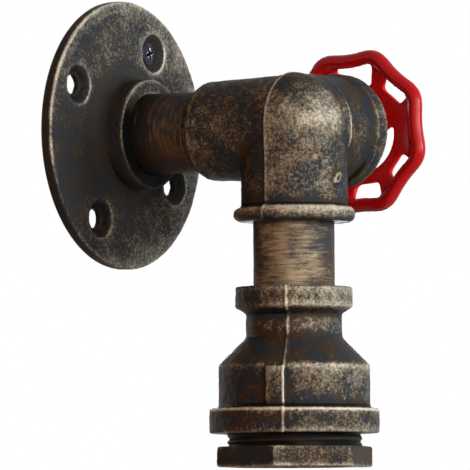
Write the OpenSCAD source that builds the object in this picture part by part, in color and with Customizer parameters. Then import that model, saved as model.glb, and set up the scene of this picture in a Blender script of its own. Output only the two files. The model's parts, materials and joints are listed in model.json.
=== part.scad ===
// Pipe wall light: cast pipe fittings with a handwheel switch and a screw-in lampholder.
// The origin is the centre of the flange's back face. The wall is the plane y = 0, the arm
// runs out along -Y, the handwheel points along +X and the lamp hangs down along -Z.

/* [Pipe] */
// Outside diameter of the two pipe nipples
pipe_od = 26.9; // [24:0.1:32]
// Wall of the two pipe nipples
pipe_wall = 2.65; // [2:0.05:3]
// Length of pipe that screws into a fitting
seat_len = 13.2; // [10:0.1:14]
// Gap between a pipe and the thread it sits in, on each side
thread_gap = 0.05; // [0.02:0.01:0.1]
// Distance from the wall to the axis of the drop
arm_reach = 71; // [68:0.5:120]
// Length of the drop nipple that shows
drop_show = 21.5; // [10:0.5:80]

/* [Wall flange] */
// Diameter of the flange plate
flange_d = 90; // [86:1:120]
// Thickness of the flange plate
flange_t = 4.5; // [4:0.1:7]
// Rounding of the plate's front edge
flange_round = 1.8; // [0.5:0.1:2.5]
// Wall of the hub around the pipe
hub_wall = 5; // [3.5:0.1:6]
// Height of the hub above the plate
hub_h = 10.1; // [8:0.1:16]
// Fillet at the foot of the hub
hub_fillet = 5; // [2:0.5:6]
// Rounding of the hub's rim
hub_round = 1.2; // [0.4:0.1:1.6]
// Height of the stop for the pipe at the wall side
stop_t = 1.5; // [1:0.1:2.5]
// Diameter of the circle that the screw holes lie on
hole_circle_d = 65; // [64:0.5:72]
// Angle of the first screw hole from the handwheel side, turning up
hole_angle = 61; // [0:1:89]
// Diameter of the screw holes
hole_d = 6.6; // [4:0.1:7]
// Diameter of the countersinks
sink_d = 13; // [10:0.1:13.5]
// Depth of the countersinks
sink_h = 2.7; // [1.5:0.1:3.2]

/* [Flange screw] */
// Thread diameter of the flange screw
screw_d = 6; // [4:0.1:6.5]
// Gap around the screw head in its countersink
screw_gap = 0.1; // [0.05:0.05:0.3]
// How far the screw's end stays behind the wall face
screw_short = 0.4; // [0.2:0.1:1]
// Length of the cross recess from end to end
cross_l = 6.4; // [4:0.1:7]
// Turn of the cross recess about the screw
cross_turn = 20; // [0:1:89]
// Width of the cross recess
cross_w = 1.3; // [0.8:0.1:2]
// Depth of the cross recess
cross_h = 1.6; // [0.8:0.1:2]

/* [Corner elbow] */
// Distance from the drop axis to the rear port's mouth
rear_len = 37.6; // [36:0.1:45]
// Distance from the arm axis to the drop port's mouth
drop_len = 31.2; // [30:0.1:45]
// Distance from the drop axis to the side port's mouth
side_len = 28.5; // [28:0.1:45]
// Wall of the rear port at its mouth
rear_wall = 3.25; // [2.5:0.05:3.4]
// Wall of the rear port where it joins the dome
rear_root_wall = 4.4; // [4.3:0.05:4.5]
// Length of the bevel at the rear port's mouth
rear_bevel = 4.8; // [2:0.1:8]
// Wall of the drop port
drop_wall = 4.15; // [3.8:0.05:4.2]
// How far the dome stands out past the drop port
dome_extra = 0.6; // [0.5:0.1:2]
// Height of the bead at the drop port's mouth
bead_h = 5.7; // [3:0.1:8]
// How far the bead stands out from the drop port
bead_out = 2.5; // [1:0.1:4]
// Wall of the side port's neck
side_wall = 3.3; // [2.5:0.05:3.7]
// Length of the band at the side port's mouth
band_l = 6; // [3:0.1:8]
// How far that band stands out from the neck
band_out = 1.75; // [0.8:0.05:3]
// Radius of the hollow in the middle of the elbow
hollow_r = 12.4; // [12:0.1:13]

/* [Bell reducer] */
// Height of the upper band
collar_h = 6.7; // [4:0.1:9]
// Wall of the upper band
collar_wall = 5.9; // [3:0.05:8]
// Wall of the neck
neck_wall = 2.4; // [2:0.05:4]
// Height of the slope from the upper band to the neck
collar_slope = 2.1; // [1:0.1:4]
// Thickness of the lip that the lampholder's stud is clamped to
lip_t = 3.5; // [2.5:0.1:5]
// Diameter of the hole through the lip
lip_d = 16; // [13:0.1:17]
// Height of the shoulder
shoulder_h = 9.2; // [8:0.1:14]
// Wall of the wide body around the hollow
bell_wall = 4.05; // [3:0.05:6]
// Height of the wide body below the shoulder
bell_h = 14.2; // [12:0.1:24]
// Height of the lower band
foot_h = 8.2; // [5:0.1:12]
// Wall of the lower band around the bushing's thread
foot_wall = 5.7; // [4:0.05:8]
// Width of the cast rib, as an angle
rib_angle = 13; // [5:1:30]
// Direction where that rib starts, from the handwheel side, turning to the wall
rib_turn = 192; // [0:1:359]
// How far the rib stands out
rib_out = 1; // [0.5:0.1:2]

/* [Hex bushing] */
// Wall of the bushing's thread
bush_wall = 2.9; // [2:0.05:5]
// Length of thread inside the reducer
bush_in = 14; // [8:0.1:20]
// Length of thread that shows below the reducer
bush_show = 4.3; // [1:0.1:8]
// How far the flats of the hexagon stand out past the thread
hex_out = 0.7; // [0.2:0.05:4]
// Height of the hexagon
hex_h = 6.8; // [4:0.1:12]
// Turn of the hexagon about the drop
hex_turn = 18; // [0:1:59]

/* [Lampholder] */
// Inside diameter of the screw shell at its thread
shell_d = 26.6; // [26:0.1:28]
// Wall of the screw shell
shell_wall = 0.5; // [0.4:0.1:0.8]
// Length of the shell's thread
shell_thread_l = 13; // [8:0.5:16]
// Length of the plain part above the thread
shell_plain_l = 5.5; // [5:0.1:8]
// How much narrower the plain part is, on each side
shell_step = 0.3; // [0.2:0.05:0.6]
// Wall of the porcelain body
body_wall = 5; // [4:0.1:8]
// How far the body reaches below the shell
body_lip = 0.7; // [0.3:0.1:2]
// Gap between the shell and the body, and the body and the bushing
holder_gap = 0.4; // [0.2:0.05:0.6]
// Thickness of the body's floor
floor_t = 4; // [3:0.1:6]
// Height of the cap
cap_h = 13.5; // [12.5:0.1:18]
// Length of the cap's threaded boss
boss_l = 6.5; // [5:0.1:7]
// Wall of the cap's skirt
cap_wall = 2.5; // [1.5:0.1:3]
// Distance of the terminals from the axis
terminal_r = 9; // [8.5:0.1:9.5]
// Side of the square terminal blocks
block_w = 6; // [5:0.1:6.5]
// Height of the terminal blocks
block_h = 4; // [3:0.1:4.5]

/* [Stud] */
// Diameter of the hollow stud
stud_d = 10; // [9:0.1:11]
// Bore of the hollow stud
stud_bore = 7.4; // [6.8:0.1:8]
// Across flats of the locknuts on the stud
locknut_af = 14; // [13:0.1:16]
// Height of those locknuts
locknut_h = 4; // [3:0.1:5]
// Thickness of the two clamp washers
washer_t = 1; // [0.8:0.1:1.6]
// Thickness of the earth tag
tag_t = 0.8; // [0.5:0.1:1]
// How far the stud stands above its upper nut
stud_over = 2.5; // [1:0.1:5]

/* [Switch] */
// Wall of the side port's bushing
plug_wall = 2.9; // [2:0.1:3.2]
// Thickness of the end wall of that bushing
plug_end = 3; // [2:0.1:4]
// Height of its hexagon past the port
plug_head = 2; // [1.5:0.1:2.8]
// Across flats of its hexagon
plug_af = 24; // [20:0.5:25]
// Gap around the switch in the bushing
switch_gap = 0.3; // [0.1:0.05:0.5]
// Depth of the switch housing
switch_l = 12.5; // [11.5:0.1:13]
// Wall of the switch housing
switch_wall = 1.4; // [1:0.1:2]
// Diameter of the switch's threaded neck
neck_d = 10; // [9:0.1:12]
// How far the neck stands past its locknut
neck_over = 0.8; // [0.3:0.1:1.2]
// Height of the switch's locknut
neck_nut_h = 3; // [2:0.1:3.2]
// Diameter of the spindle
spindle_d = 6; // [5:0.1:7]
// Running gap between the spindle and the neck
spindle_gap = 0.05; // [0.02:0.01:0.08]
// Square of the spindle that the handwheel sits on
square_w = 4.2; // [3.4:0.1:4.2]
// Distance of the switch terminals from the spindle's axis
tab_r = 5; // [4.5:0.1:5.5]

/* [Handwheel] */
// Distance from the side port's mouth to the rim's plane
wheel_off = 8.8; // [8.5:0.1:16]
// Mean radius of the rim's middle line
rim_r = 25.2; // [24:0.1:32]
// Radius of the rim's round section
rim_tube_r = 2.3; // [1.6:0.05:2.8]
// Number of lobes around the rim
lobes = 8; // [5:1:10]
// How far the rim waves in and out
lobe_out = 1.3; // [0.5:0.1:2]
// Angle of one lobe from the outward side, turning up
lobe_angle = 27; // [0:1:60]
// How far the web is dished from the rim to its inner edge
dish = 4.8; // [2:0.1:7]
// Thickness of the web
web_t = 2.4; // [1.6:0.1:3.2]
// Radius of the web's inner edge
web_in_r = 12.9; // [11:0.1:14]
// Radius of the inner edge of the slots along the rim
slot_in_r = 18.8; // [17:0.1:20]
// Length of each slot, as an angle
slot_angle = 26; // [10:1:34]
// Rounding of the inner corners of the slots
slot_round = 0.8; // [0.4:0.1:1.2]
// Width of each narrow bridge between two slots, as an angle
bridge_angle = 16; // [8:1:24]
// Angle of one broad paddle's middle
paddle_angle = 4; // [0:1:60]
// Number of spokes, and of broad paddles
spokes = 3; // [2:1:4]
// Width of a spoke
spoke_w = 6.4; // [4:0.1:8]
// Thickness of a spoke
spoke_t = 1.8; // [1.2:0.1:2.2]
// Angle of one spoke
spoke_angle = 33; // [0:1:60]
// Diameter of the hub
wheel_hub_d = 14; // [11:0.5:18]
// Length of the hub on the elbow's side of the web's edge
wheel_hub_in = 5; // [3:0.1:5]
// Length of the hub on the far side
wheel_hub_over = 2.5; // [1:0.1:5]

/* [Wires] */
// Diameter of the wires
wire_d = 2; // [1.4:0.1:2]
// Diameter of the crimp splices
splice_d = 5; // [4:0.1:5.4]
// Length of the crimp splices
splice_l = 24; // [15:0.5:24]
// Where the splices start, from the wall
splice_start = 8; // [6:0.1:8]

/* [Hidden] */
$fn = 96;
bronze = [0.23, 0.20, 0.16];
bronze_dark = [0.17, 0.15, 0.13];
enamel_red = [0.70, 0.05, 0.07];
steel = [0.62, 0.63, 0.65];
brass = [0.78, 0.60, 0.28];
porcelain = [0.93, 0.92, 0.88];
black_plastic = [0.09, 0.09, 0.10];
board_brown = [0.35, 0.22, 0.12];
cam_grey = [0.55, 0.55, 0.52];
splice_red = [0.65, 0.12, 0.10];
wire_brown = [0.30, 0.16, 0.08];
wire_black = [0.10, 0.10, 0.10];
wire_blue = [0.08, 0.20, 0.55];
wire_green = [0.30, 0.55, 0.12];

// Gaps between loose pieces, moving pieces and contacts, and how far a cut runs past a solid
slip = 0.1;
joint_gap = 0.3;
blade_gap = 0.4;
over = 1;
// Sheet that the contacts and tabs are pressed from
plate_t = 0.6;

// Pipes and the seats that take them
pipe_r = pipe_od / 2;
bore_r = pipe_r - pipe_wall;
seat_r = pipe_r + thread_gap;
arm_end = arm_reach - rear_len + seat_len;
drop_top = -drop_len + seat_len;

// Flange
hub_r = pipe_r + hub_wall;
hub_top = flange_t + hub_h;
hole_count = 4;

// Elbow
drop_r = pipe_r + drop_wall;
dome_r = drop_r + dome_extra;
rear_r = pipe_r + rear_wall;
rear_root_r = pipe_r + rear_root_wall;
side_r = pipe_r + side_wall;

// Stud and clamp stack, from the lip outwards
stud_short = 0.5;
reducer_top = -drop_len - drop_show;
lip_top = reducer_top - seat_len;
lip_bottom = lip_top - lip_t;
upper_nut_z = lip_top + washer_t + tag_t;
stud_top = upper_nut_z + locknut_h + stud_over;
lower_nut_z = lip_bottom - washer_t - locknut_h;
cap_top = lower_nut_z;
stud_end = cap_top - boss_l + stud_short;
stud_r = stud_d / 2;
stud_fit_r = stud_r + thread_gap;
tag_rise = 6;
tag_tab_r = bore_r - 2 * tag_t;
tag_tab_top = upper_nut_z + tag_rise;

// Lampholder
block_room = 2;
shell_r = shell_d / 2;
shell_out_r = shell_r + shell_wall;
body_in_r = shell_out_r + holder_gap / 2;
body_r = body_in_r + body_wall;
body_top = cap_top - cap_h;
floor_z = body_top - floor_t;
shell_end = floor_z - shell_plain_l - shell_thread_l;
cap_r = terminal_r + block_w / 2 + block_room + cap_wall;
rivet_r = 1.5;
rivet_fit_r = rivet_r + thread_gap;
rivet_head_r = 2.6;
rivet_head_h = 0.8;
tongue_w = 5;
tongue_root = terminal_r - rivet_head_r - 1;
terminal_screw_r = 1;

// Bushing and reducer, built outwards from the lampholder
seat_ledge = 1.4;
bush_bore_r = body_r + holder_gap;
bush_r = bush_bore_r + bush_wall;
bush_seat_r = bush_r + thread_gap;
bell_in_r = bush_seat_r - seat_ledge;
bell_r = bell_in_r + bell_wall;
foot_r = bush_seat_r + foot_wall;
collar_r = pipe_r + collar_wall;
neck_r = pipe_r + neck_wall;
bell_top = lip_bottom - shoulder_h;
foot_top = bell_top - bell_h;
reducer_end = foot_top - foot_h;
hex_top = reducer_end - bush_show;
hex_end = hex_top - hex_h;
hex_r = (bush_r + hex_out) / cos(30);

// Side port bushing and switch, measured along +X from the drop axis
plug_in = side_len - seat_len;
plug_out = side_len + plug_head;
plug_bore_r = pipe_r - plug_wall;
switch_r = plug_bore_r - switch_gap;
switch_out = plug_out - plug_end;
switch_in = switch_out - switch_l;
switch_in_r = switch_r - switch_wall;
switch_end_t = 2;
cover_t = 1.5;
collar_t = 1.2;
switch_neck_r = neck_d / 2;
neck_nut_z = plug_out + washer_t;
neck_out = neck_nut_z + neck_nut_h + neck_over;
neck_in = switch_out - switch_end_t - collar_t;
spindle_r = spindle_d / 2;
spindle_seat = 1;
switch_tab_t = 0.8;
switch_tab_w = 3;
switch_tab_l = 3;
tab_in = switch_in + cover_t + blade_gap + plate_t;
tab_out = switch_in - switch_tab_l;
blade_in = tab_in + blade_gap;
cam_in = blade_in + plate_t;
cam_out = neck_in - joint_gap;

// Handwheel, along +X from the drop axis
wheel_x = side_len + wheel_off;
web_x = wheel_x + dish;
hub_in = web_x - wheel_hub_in;
hub_out = web_x + wheel_hub_over;
nut_stud_d = 3.8;
wheel_nut_h = 3.2;
wheel_nut_af = 7;
wheel_washer_t = 1;
wheel_washer_d = 11;
nut_stud_end = hub_out + wheel_washer_t + wheel_nut_h + nut_stud_d / 4;
peak_r = rim_r + lobe_out;
spoke_pitch = 360 / spokes;
slot_turn = (spoke_pitch - bridge_angle - slot_angle) / 2;

// Splices lie side by side on the bottom of the arm's bore
splice_room = 0.6;
splice_depth = 3;
splice_ring_r = bore_r - splice_d / 2 - slip;
splice_step = 2 * asin((splice_d + splice_room) / 2 / splice_ring_r);
splice_end = splice_start + splice_l;
wire_r = wire_d / 2;
wire_fit_r = wire_r + slip;
wire_sides = 8;
wire_depth = 4;

// Wire routes by hand, as [x, distance from the wall, z], each from a splice to its terminal.
// The two lamp wires run side by side down the stud.
pair_x = 1.6;
block_x = terminal_r - block_w / 2;
block_z = body_top + block_h / 2;
function splice_at(i) = splice_ring_r * [sin(i * splice_step), -cos(i * splice_step)];
function by_splice(i, past) = [splice_at(i)[0], splice_end + past, splice_at(i)[1]];
function by_drop(x, back, z) = [x, arm_reach - back, z];
lamp_end = [
    [pair_x, stud_top + 12], [pair_x, stud_top + 3], [pair_x, stud_end - 1], [2, stud_end - 2.6],
    [3.2, body_top + 2.9], [block_x - 0.8, block_z], [block_x + wire_depth, block_z]];
live_route = [
    by_splice(1, -splice_depth), by_splice(1, splice_depth),
    by_drop(5.2, 29, -5.6), by_drop(4.6, 23, -3.4), by_drop(3.4, 17, -0.4), by_drop(2.2, 11, 2.6),
    by_drop(1.8, 6, 4.4), by_drop(2.6, 2.4, 5), by_drop(4.8, 0.4, 5), by_drop(8, 0, tab_r),
    by_drop(tab_out, 0, tab_r)];
neutral_route = [
    by_splice(-1, -splice_depth), by_splice(-1, splice_depth),
    by_drop(-5.2, 29, -6.2), by_drop(-5, 23, -6.2), by_drop(-4.6, 17, -6.4), by_drop(-4.1, 12, -7.4),
    by_drop(-3.5, 7.5, -9.8), by_drop(-3, 4, -13.4), by_drop(-2.6, 1.6, -18), by_drop(-2.2, 0.4, -24),
    for (p = lamp_end) by_drop(-p[0], 0, p[1])];
switched_route = [
    by_drop(tab_out, 0, -tab_r), by_drop(8, 0, -tab_r), by_drop(5, 0, -5.6), by_drop(2.9, 0, -8),
    by_drop(2, 0, -12), by_drop(1.8, 0, -18),
    for (p = lamp_end) by_drop(p[0], 0, p[1])];
earth_route = [
    by_splice(0, -splice_depth), by_splice(0, splice_depth),
    by_drop(0, 29, -7.6), by_drop(0, 23, -7.2), by_drop(0, 17, -7.4), by_drop(0, tag_tab_r + 3.6, -8),
    by_drop(0, tag_tab_r + 0.2, -9), by_drop(0, tag_tab_r - 0.4, -13.5), by_drop(0, tag_tab_r, -20),
    by_drop(0, tag_tab_r, tag_tab_top + 6), by_drop(0, tag_tab_r, tag_tab_top)];

// Places: the arm's axis, the corner, and the side port's axis
module on_arm() { rotate([90, 0, 0]) children(); }
module at_corner() { translate([0, -arm_reach, 0]) children(); }
module on_side() { at_corner() rotate([0, 90, 0]) children(); }

// Outline of a round corner, as points about its centre
function turned(r, a) = r * [cos(a), sin(a)];
function arc(c, r, a0, a1, n = 6) = [for (i = [0:n]) c + turned(r, a0 + (a1 - a0) * i / n)];

module tube(r_out, r_in, z0, z1) {
    translate([0, 0, z0]) difference() {
        cylinder(r = r_out, h = z1 - z0);
        translate([0, 0, -over]) cylinder(r = r_in, h = z1 - z0 + 2 * over);
    }
}

module hex_ring(af, bore, z0, h) {
    translate([0, 0, z0]) difference() {
        cylinder(r = af / 2 / cos(30), h = h, $fn = 6);
        translate([0, 0, -over]) cylinder(r = bore, h = h + 2 * over);
    }
}

// A round tube along points, each ring carried on from the one before it
function unit(v) = v / norm(v);
function heading(p, i) = unit(p[min(i + 1, len(p) - 1)] - p[max(i - 1, 0)]);
function carried(n, t) = unit(n - (n * t) * t);
function sides(p, i = 0, n = [0.3, 0.2, 1]) =
    i == len(p) ? [] :
    let (m = carried(n, heading(p, i))) concat([m], sides(p, i + 1, m));
function ring(c, t, n, r, k) =
    [for (a = [0:k - 1]) c + r * (cos(360 * a / k) * n + sin(360 * a / k) * cross(t, n))];

module swept(points, r, k) {
    normals = sides(points);
    last = len(points) - 1;
    rings = [for (i = [0:last]) ring(points[i], heading(points, i), normals[i], r, k)];
    walls = [for (i = [0:last - 1], a = [0:k - 1])
        let (b = (a + 1) % k) each [[i * k + a, (i + 1) * k + a, (i + 1) * k + b],
                                    [i * k + a, (i + 1) * k + b, i * k + b]]];
    ends = [[for (a = [0:k - 1]) a], [for (a = [k - 1:-1:0]) last * k + a]];
    polyhedron([for (r = rings) each r], concat(walls, ends), convexity = 8);
}

module wire(route, c) {
    color(c) swept([for (p = route) [p[0], -p[1], p[2]]], wire_r, wire_sides);
}

// Wall flange and its screw
module flange_hole_place(i) {
    a = hole_angle + i * 360 / hole_count;
    translate([hole_circle_d / 2 * cos(a), hole_circle_d / 2 * sin(a), 0]) children();
}

module wall_flange() {
    r = flange_d / 2;
    back_edge = 0.5;
    outline = concat(
        [[bore_r, 0], [r - back_edge, 0], [r, back_edge]],
        arc([r - flange_round, flange_t - flange_round], flange_round, 0, 90),
        arc([hub_r + hub_fillet, flange_t + hub_fillet], hub_fillet, 270, 180),
        arc([hub_r - hub_round, hub_top - hub_round], hub_round, 0, 90),
        [[seat_r, hub_top], [seat_r, stop_t], [bore_r, stop_t]]);
    color(bronze) on_arm() difference() {
        rotate_extrude() polygon(outline);
        for (i = [0:hole_count - 1]) flange_hole_place(i) {
            shank_d = i == 0 ? screw_d + 2 * thread_gap : hole_d;
            translate([0, 0, -over]) cylinder(d = shank_d, h = flange_t + 2 * over);
            translate([0, 0, flange_t - sink_h]) cylinder(d1 = hole_d, d2 = sink_d, h = sink_h);
            translate([0, 0, flange_t]) cylinder(d = sink_d, h = hub_fillet);
        }
    }
}

module flange_screw() {
    head_z = flange_t - sink_h;
    color(steel) on_arm() flange_hole_place(0) difference() {
        union() {
            translate([0, 0, screw_short]) cylinder(d = screw_d, h = head_z);
            translate([0, 0, head_z])
                cylinder(d1 = hole_d - 2 * screw_gap, d2 = sink_d - 2 * screw_gap, h = sink_h);
        }
        for (a = [cross_turn, cross_turn + 90]) translate([0, 0, flange_t]) rotate(a)
            cube([cross_l, cross_w, 2 * cross_h], center = true);
    }
}

// Pipe nipples
module arm_nipple() { color(bronze) on_arm() tube(pipe_r, bore_r, stop_t, arm_end); }
module drop_nipple() { color(bronze) at_corner() tube(pipe_r, bore_r, lip_top, drop_top); }

// Corner elbow with its three ports
module elbow_drop_port() {
    bead_r = drop_r + bead_out;
    bead_end = bead_h - drop_len;
    round_r = 0.96 * min(bead_h / 2, bead_out);
    rotate_extrude() polygon(concat(
        [[0, 0], [0, -drop_len]],
        arc([bead_r - round_r, round_r - drop_len], round_r, 270, 360),
        arc([bead_r - round_r, bead_end - round_r], round_r, 0, 90),
        [[drop_r, bead_end], [drop_r, 0]]));
}

module elbow_rear_port() {
    mouth_edge = 0.4;
    rotate([-90, 0, 0]) rotate_extrude() polygon([
        [0, 0], [rear_root_r, 0], [rear_r, rear_len - rear_bevel],
        [seat_r + mouth_edge, rear_len], [0, rear_len]]);
}

module elbow_side_port() {
    edge = 0.7;
    band_r = side_r + band_out;
    rotate([0, 90, 0]) rotate_extrude() polygon([
        [0, 0], [side_r, 0], [side_r, side_len - band_l - edge], [band_r, side_len - band_l],
        [band_r, side_len - edge], [band_r - edge, side_len], [0, side_len]]);
}

module corner_elbow() {
    color(bronze) at_corner() difference() {
        union() {
            sphere(r = dome_r);
            elbow_drop_port();
            elbow_rear_port();
            elbow_side_port();
        }
        sphere(r = hollow_r);
        translate([0, 0, -drop_len - over]) cylinder(r = seat_r, h = seat_len + over);
        translate([0, 0, -drop_len]) cylinder(r = bore_r, h = drop_len);
        rotate([-90, 0, 0]) {
            translate([0, 0, rear_len - seat_len]) cylinder(r = seat_r, h = seat_len + over);
            cylinder(r = bore_r, h = rear_len);
        }
        rotate([0, 90, 0]) {
            translate([0, 0, plug_in]) cylinder(r = seat_r, h = seat_len + over);
            cylinder(r = plug_bore_r, h = side_len);
        }
    }
}

// Bell reducer and hex bushing
module bell_reducer() {
    edge = 0.8;
    lip_relief = 0.5;
    bush_room = 0.5;
    rib_root = 1;
    foot_fillet = min(foot_r - bell_r, bell_h) - edge;
    bush_stop = reducer_end + bush_in + bush_room;
    outline = concat(
        [[seat_r, reducer_top], [seat_r, lip_top], [lip_d / 2, lip_top], [lip_d / 2, lip_bottom],
         [seat_r - lip_relief, lip_bottom], [bell_in_r, bell_top], [bell_in_r, bush_stop],
         [bush_seat_r, bush_stop], [bush_seat_r, reducer_end], [foot_r - edge, reducer_end],
         [foot_r, reducer_end + edge], [foot_r, foot_top - edge / 2], [foot_r - edge / 2, foot_top]],
        arc([bell_r + foot_fillet, foot_top + foot_fillet], foot_fillet, 270, 180),
        [[bell_r, bell_top], [neck_r, lip_bottom], [neck_r, reducer_top - collar_h - collar_slope],
         [collar_r, reducer_top - collar_h], [collar_r, reducer_top - edge],
         [collar_r - edge, reducer_top]]);
    color(bronze) at_corner() {
        rotate_extrude() polygon(outline);
        rotate(rib_turn) rotate_extrude(angle = rib_angle) polygon([
            [bell_r - 2 * rib_root, bell_top + rib_root], [bell_r + rib_out, bell_top - rib_root / 2],
            [bell_r + rib_out, foot_top - edge / 2], [bell_r - rib_root, foot_top - edge / 2]]);
    }
}

module hex_bushing() {
    chamfer = 1;
    bore_l = hex_h + bush_show + bush_in;
    color(bronze_dark) at_corner() difference() {
        union() {
            translate([0, 0, hex_top]) cylinder(r = bush_r, h = bush_show + bush_in);
            translate([0, 0, hex_end]) intersection() {
                rotate(hex_turn) cylinder(r = hex_r, h = hex_h, $fn = 6);
                rotate_extrude() polygon([
                    [0, 0], [hex_r - chamfer, 0], [hex_r + slip, chamfer],
                    [hex_r + slip, hex_h - chamfer], [hex_r - chamfer, hex_h], [0, hex_h]]);
            }
        }
        translate([0, 0, hex_end - over]) cylinder(r = bush_bore_r, h = bore_l + 2 * over);
    }
}

// Hollow stud that the lampholder hangs from, clamped to the reducer's lip
module hollow_stud() { color(steel) at_corner() tube(stud_r, stud_bore / 2, stud_end, stud_top); }

module stud_locknuts() {
    color(steel) at_corner() for (z = [upper_nut_z, lower_nut_z])
        hex_ring(locknut_af, stud_fit_r, z, locknut_h);
}

module upper_washer() {
    edge_room = 0.5;
    color(steel) at_corner() tube(bore_r - edge_room, stud_fit_r + slip, lip_top, lip_top + washer_t);
}

module lower_washer() {
    edge_room = 1.5;
    color(steel) at_corner()
        tube(seat_r - edge_room, stud_fit_r + slip, lip_bottom - washer_t, lip_bottom);
}

module earth_tag() {
    tag_w = 5 * tag_t;
    tag_z = upper_nut_z - tag_t;
    color(brass) at_corner() difference() {
        union() {
            translate([0, 0, tag_z]) cylinder(r = locknut_af / 2 + tag_t, h = tag_t);
            translate([-tag_w / 2, 0, tag_z]) cube([tag_w, tag_tab_r + tag_t / 2, tag_t]);
            translate([-tag_w / 2, tag_tab_r - tag_t / 2, tag_z]) cube([tag_w, tag_t, tag_rise + tag_t]);
        }
        translate([0, 0, tag_z - over]) cylinder(r = stud_fit_r + slip, h = tag_t + 2 * over);
    }
}

module stud_grommet() {
    grommet_wall = 0.6;
    sleeve_l = 3;
    rim_h = 1.6;
    color(black_plastic) at_corner() difference() {
        union() {
            translate([0, 0, stud_top]) cylinder(r1 = stud_r, r2 = stud_r - grommet_wall, h = rim_h);
            translate([0, 0, stud_top - sleeve_l]) cylinder(r = stud_bore / 2 - thread_gap, h = sleeve_l);
        }
        translate([0, 0, stud_top - sleeve_l - over])
            cylinder(r = stud_bore / 2 - grommet_wall, h = sleeve_l + rim_h + 2 * over);
    }
}

// Lampholder: cap, porcelain body, screw shell and terminals
module lampholder_cap() {
    boss_r = stud_r + 3;
    boss_h = 2;
    crown_t = 1;
    color(porcelain) at_corner() rotate_extrude() polygon([
        [stud_fit_r, cap_top], [boss_r, cap_top], [boss_r, cap_top - boss_h],
        [cap_r, cap_top - boss_l], [cap_r, body_top], [cap_r - cap_wall, body_top],
        [cap_r - cap_wall, cap_top - boss_l - crown_t], [stud_fit_r, cap_top - boss_l]]);
}

module lampholder_body() {
    edge = 1;
    body_end = shell_end - body_lip;
    color(porcelain) at_corner() difference() {
        rotate_extrude() polygon([
            [0, body_top], [body_r - edge, body_top], [body_r, body_top - edge],
            [body_r, body_end + edge], [body_r - edge, body_end], [body_in_r + edge / 2, body_end],
            [body_in_r, body_end + edge / 2], [body_in_r, floor_z], [0, floor_z]]);
        for (s = [-1, 1]) translate([s * terminal_r, 0, floor_z - over])
            cylinder(r = rivet_fit_r, h = floor_t + 2 * over);
    }
}

module screw_shell() {
    plain_r = shell_r - shell_step;
    plain_end = floor_z - shell_plain_l;
    ledge_r = plain_r - 2 * plate_t;
    ledge_z = floor_z - plate_t;
    tab_w = 5;
    tab_l = plain_r - terminal_r + rivet_head_r;
    color(brass) at_corner() difference() {
        union() {
            rotate_extrude() polygon([
                [ledge_r, floor_z], [shell_out_r, floor_z], [shell_out_r, shell_end],
                [shell_r, shell_end], [shell_r, plain_end], [plain_r, plain_end],
                [plain_r, ledge_z], [ledge_r, ledge_z]]);
            translate([-plain_r, -tab_w / 2, ledge_z]) cube([tab_l, tab_w, plate_t]);
        }
        translate([-terminal_r, 0, ledge_z - over]) cylinder(r = rivet_fit_r, h = plate_t + 2 * over);
    }
}

module at_terminals() {
    at_corner() for (s = [-1, 1]) rotate(s > 0 ? 0 : 180) translate([terminal_r, 0, 0]) children();
}

module terminal_blocks() {
    color(brass) at_terminals() translate([0, 0, body_top]) difference() {
        translate([-block_w / 2, -block_w / 2, 0]) cube([block_w, block_w, block_h]);
        translate([-block_w / 2 - over, 0, block_h / 2]) rotate([0, 90, 0])
            cylinder(r = wire_fit_r, h = wire_depth + 2 * slip + over);
        translate([0, 0, block_h / 2]) cylinder(r = terminal_screw_r + thread_gap, h = block_h);
    }
}

module terminal_screws() {
    head_r = 1.75;
    head_h = 1.4;
    slot_w = 0.6;
    tip_z = block_h / 2 + wire_r + slip;
    color(steel) at_terminals() translate([0, 0, body_top]) difference() {
        union() {
            translate([0, 0, tip_z]) cylinder(r = terminal_screw_r, h = block_h - tip_z + slip);
            translate([0, 0, block_h]) cylinder(r = head_r, h = head_h);
        }
        translate([-head_r - over, -slot_w / 2, block_h + head_h - slot_w])
            cube([2 * (head_r + over), slot_w, slot_w + over]);
    }
}

module terminal_rivets() {
    head_top = floor_z - plate_t;
    color(brass) at_terminals() {
        translate([0, 0, head_top]) cylinder(r = rivet_r, h = body_top - head_top);
        translate([0, 0, head_top - rivet_head_h])
            cylinder(r1 = rivet_head_r - rivet_head_h / 2, r2 = rivet_head_r, h = rivet_head_h);
    }
}

module tongue_base() {
    base_edge = 0.7;
    base_l = terminal_r - tongue_root + rivet_r + base_edge;
    base_z = floor_z - plate_t;
    color(brass) at_corner() difference() {
        translate([tongue_root, -tongue_w / 2, base_z]) cube([base_l, tongue_w, plate_t]);
        translate([terminal_r, 0, base_z - over]) cylinder(r = rivet_fit_r, h = plate_t + 2 * over);
    }
}

// The bent strip that presses on the lamp's centre contact, hinged at its root
module contact_tongue() {
    pad = 1.6;
    lift = 1;
    above_thread = 1.4;
    root = tongue_root - joint_gap;
    top = floor_z - joint_gap;
    low = floor_z - shell_plain_l + above_thread;
    color(brass) at_corner() rotate([90, 0, 0]) linear_extrude(tongue_w, center = true) polygon([
        [root, top], [root, top - plate_t], [pad, low - plate_t], [-pad, low - plate_t],
        [-pad - lift, low - plate_t + lift], [-pad - lift + plate_t, low - plate_t / 2 + lift],
        [-pad + plate_t / 2, low], [pad - plate_t / 2, low]]);
}

// Side port bushing and the rotary switch inside it
module port_bushing() {
    color(bronze_dark) on_side() difference() {
        union() {
            translate([0, 0, plug_in]) cylinder(r = pipe_r, h = seat_len);
            translate([0, 0, side_len]) cylinder(r = plug_af / 2 / cos(30), h = plug_head, $fn = 6);
        }
        translate([0, 0, plug_in - over]) cylinder(r = plug_bore_r, h = switch_out - plug_in + over);
        translate([0, 0, switch_out - over])
            cylinder(r = switch_neck_r + thread_gap, h = plug_end + 2 * over);
    }
}

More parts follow.
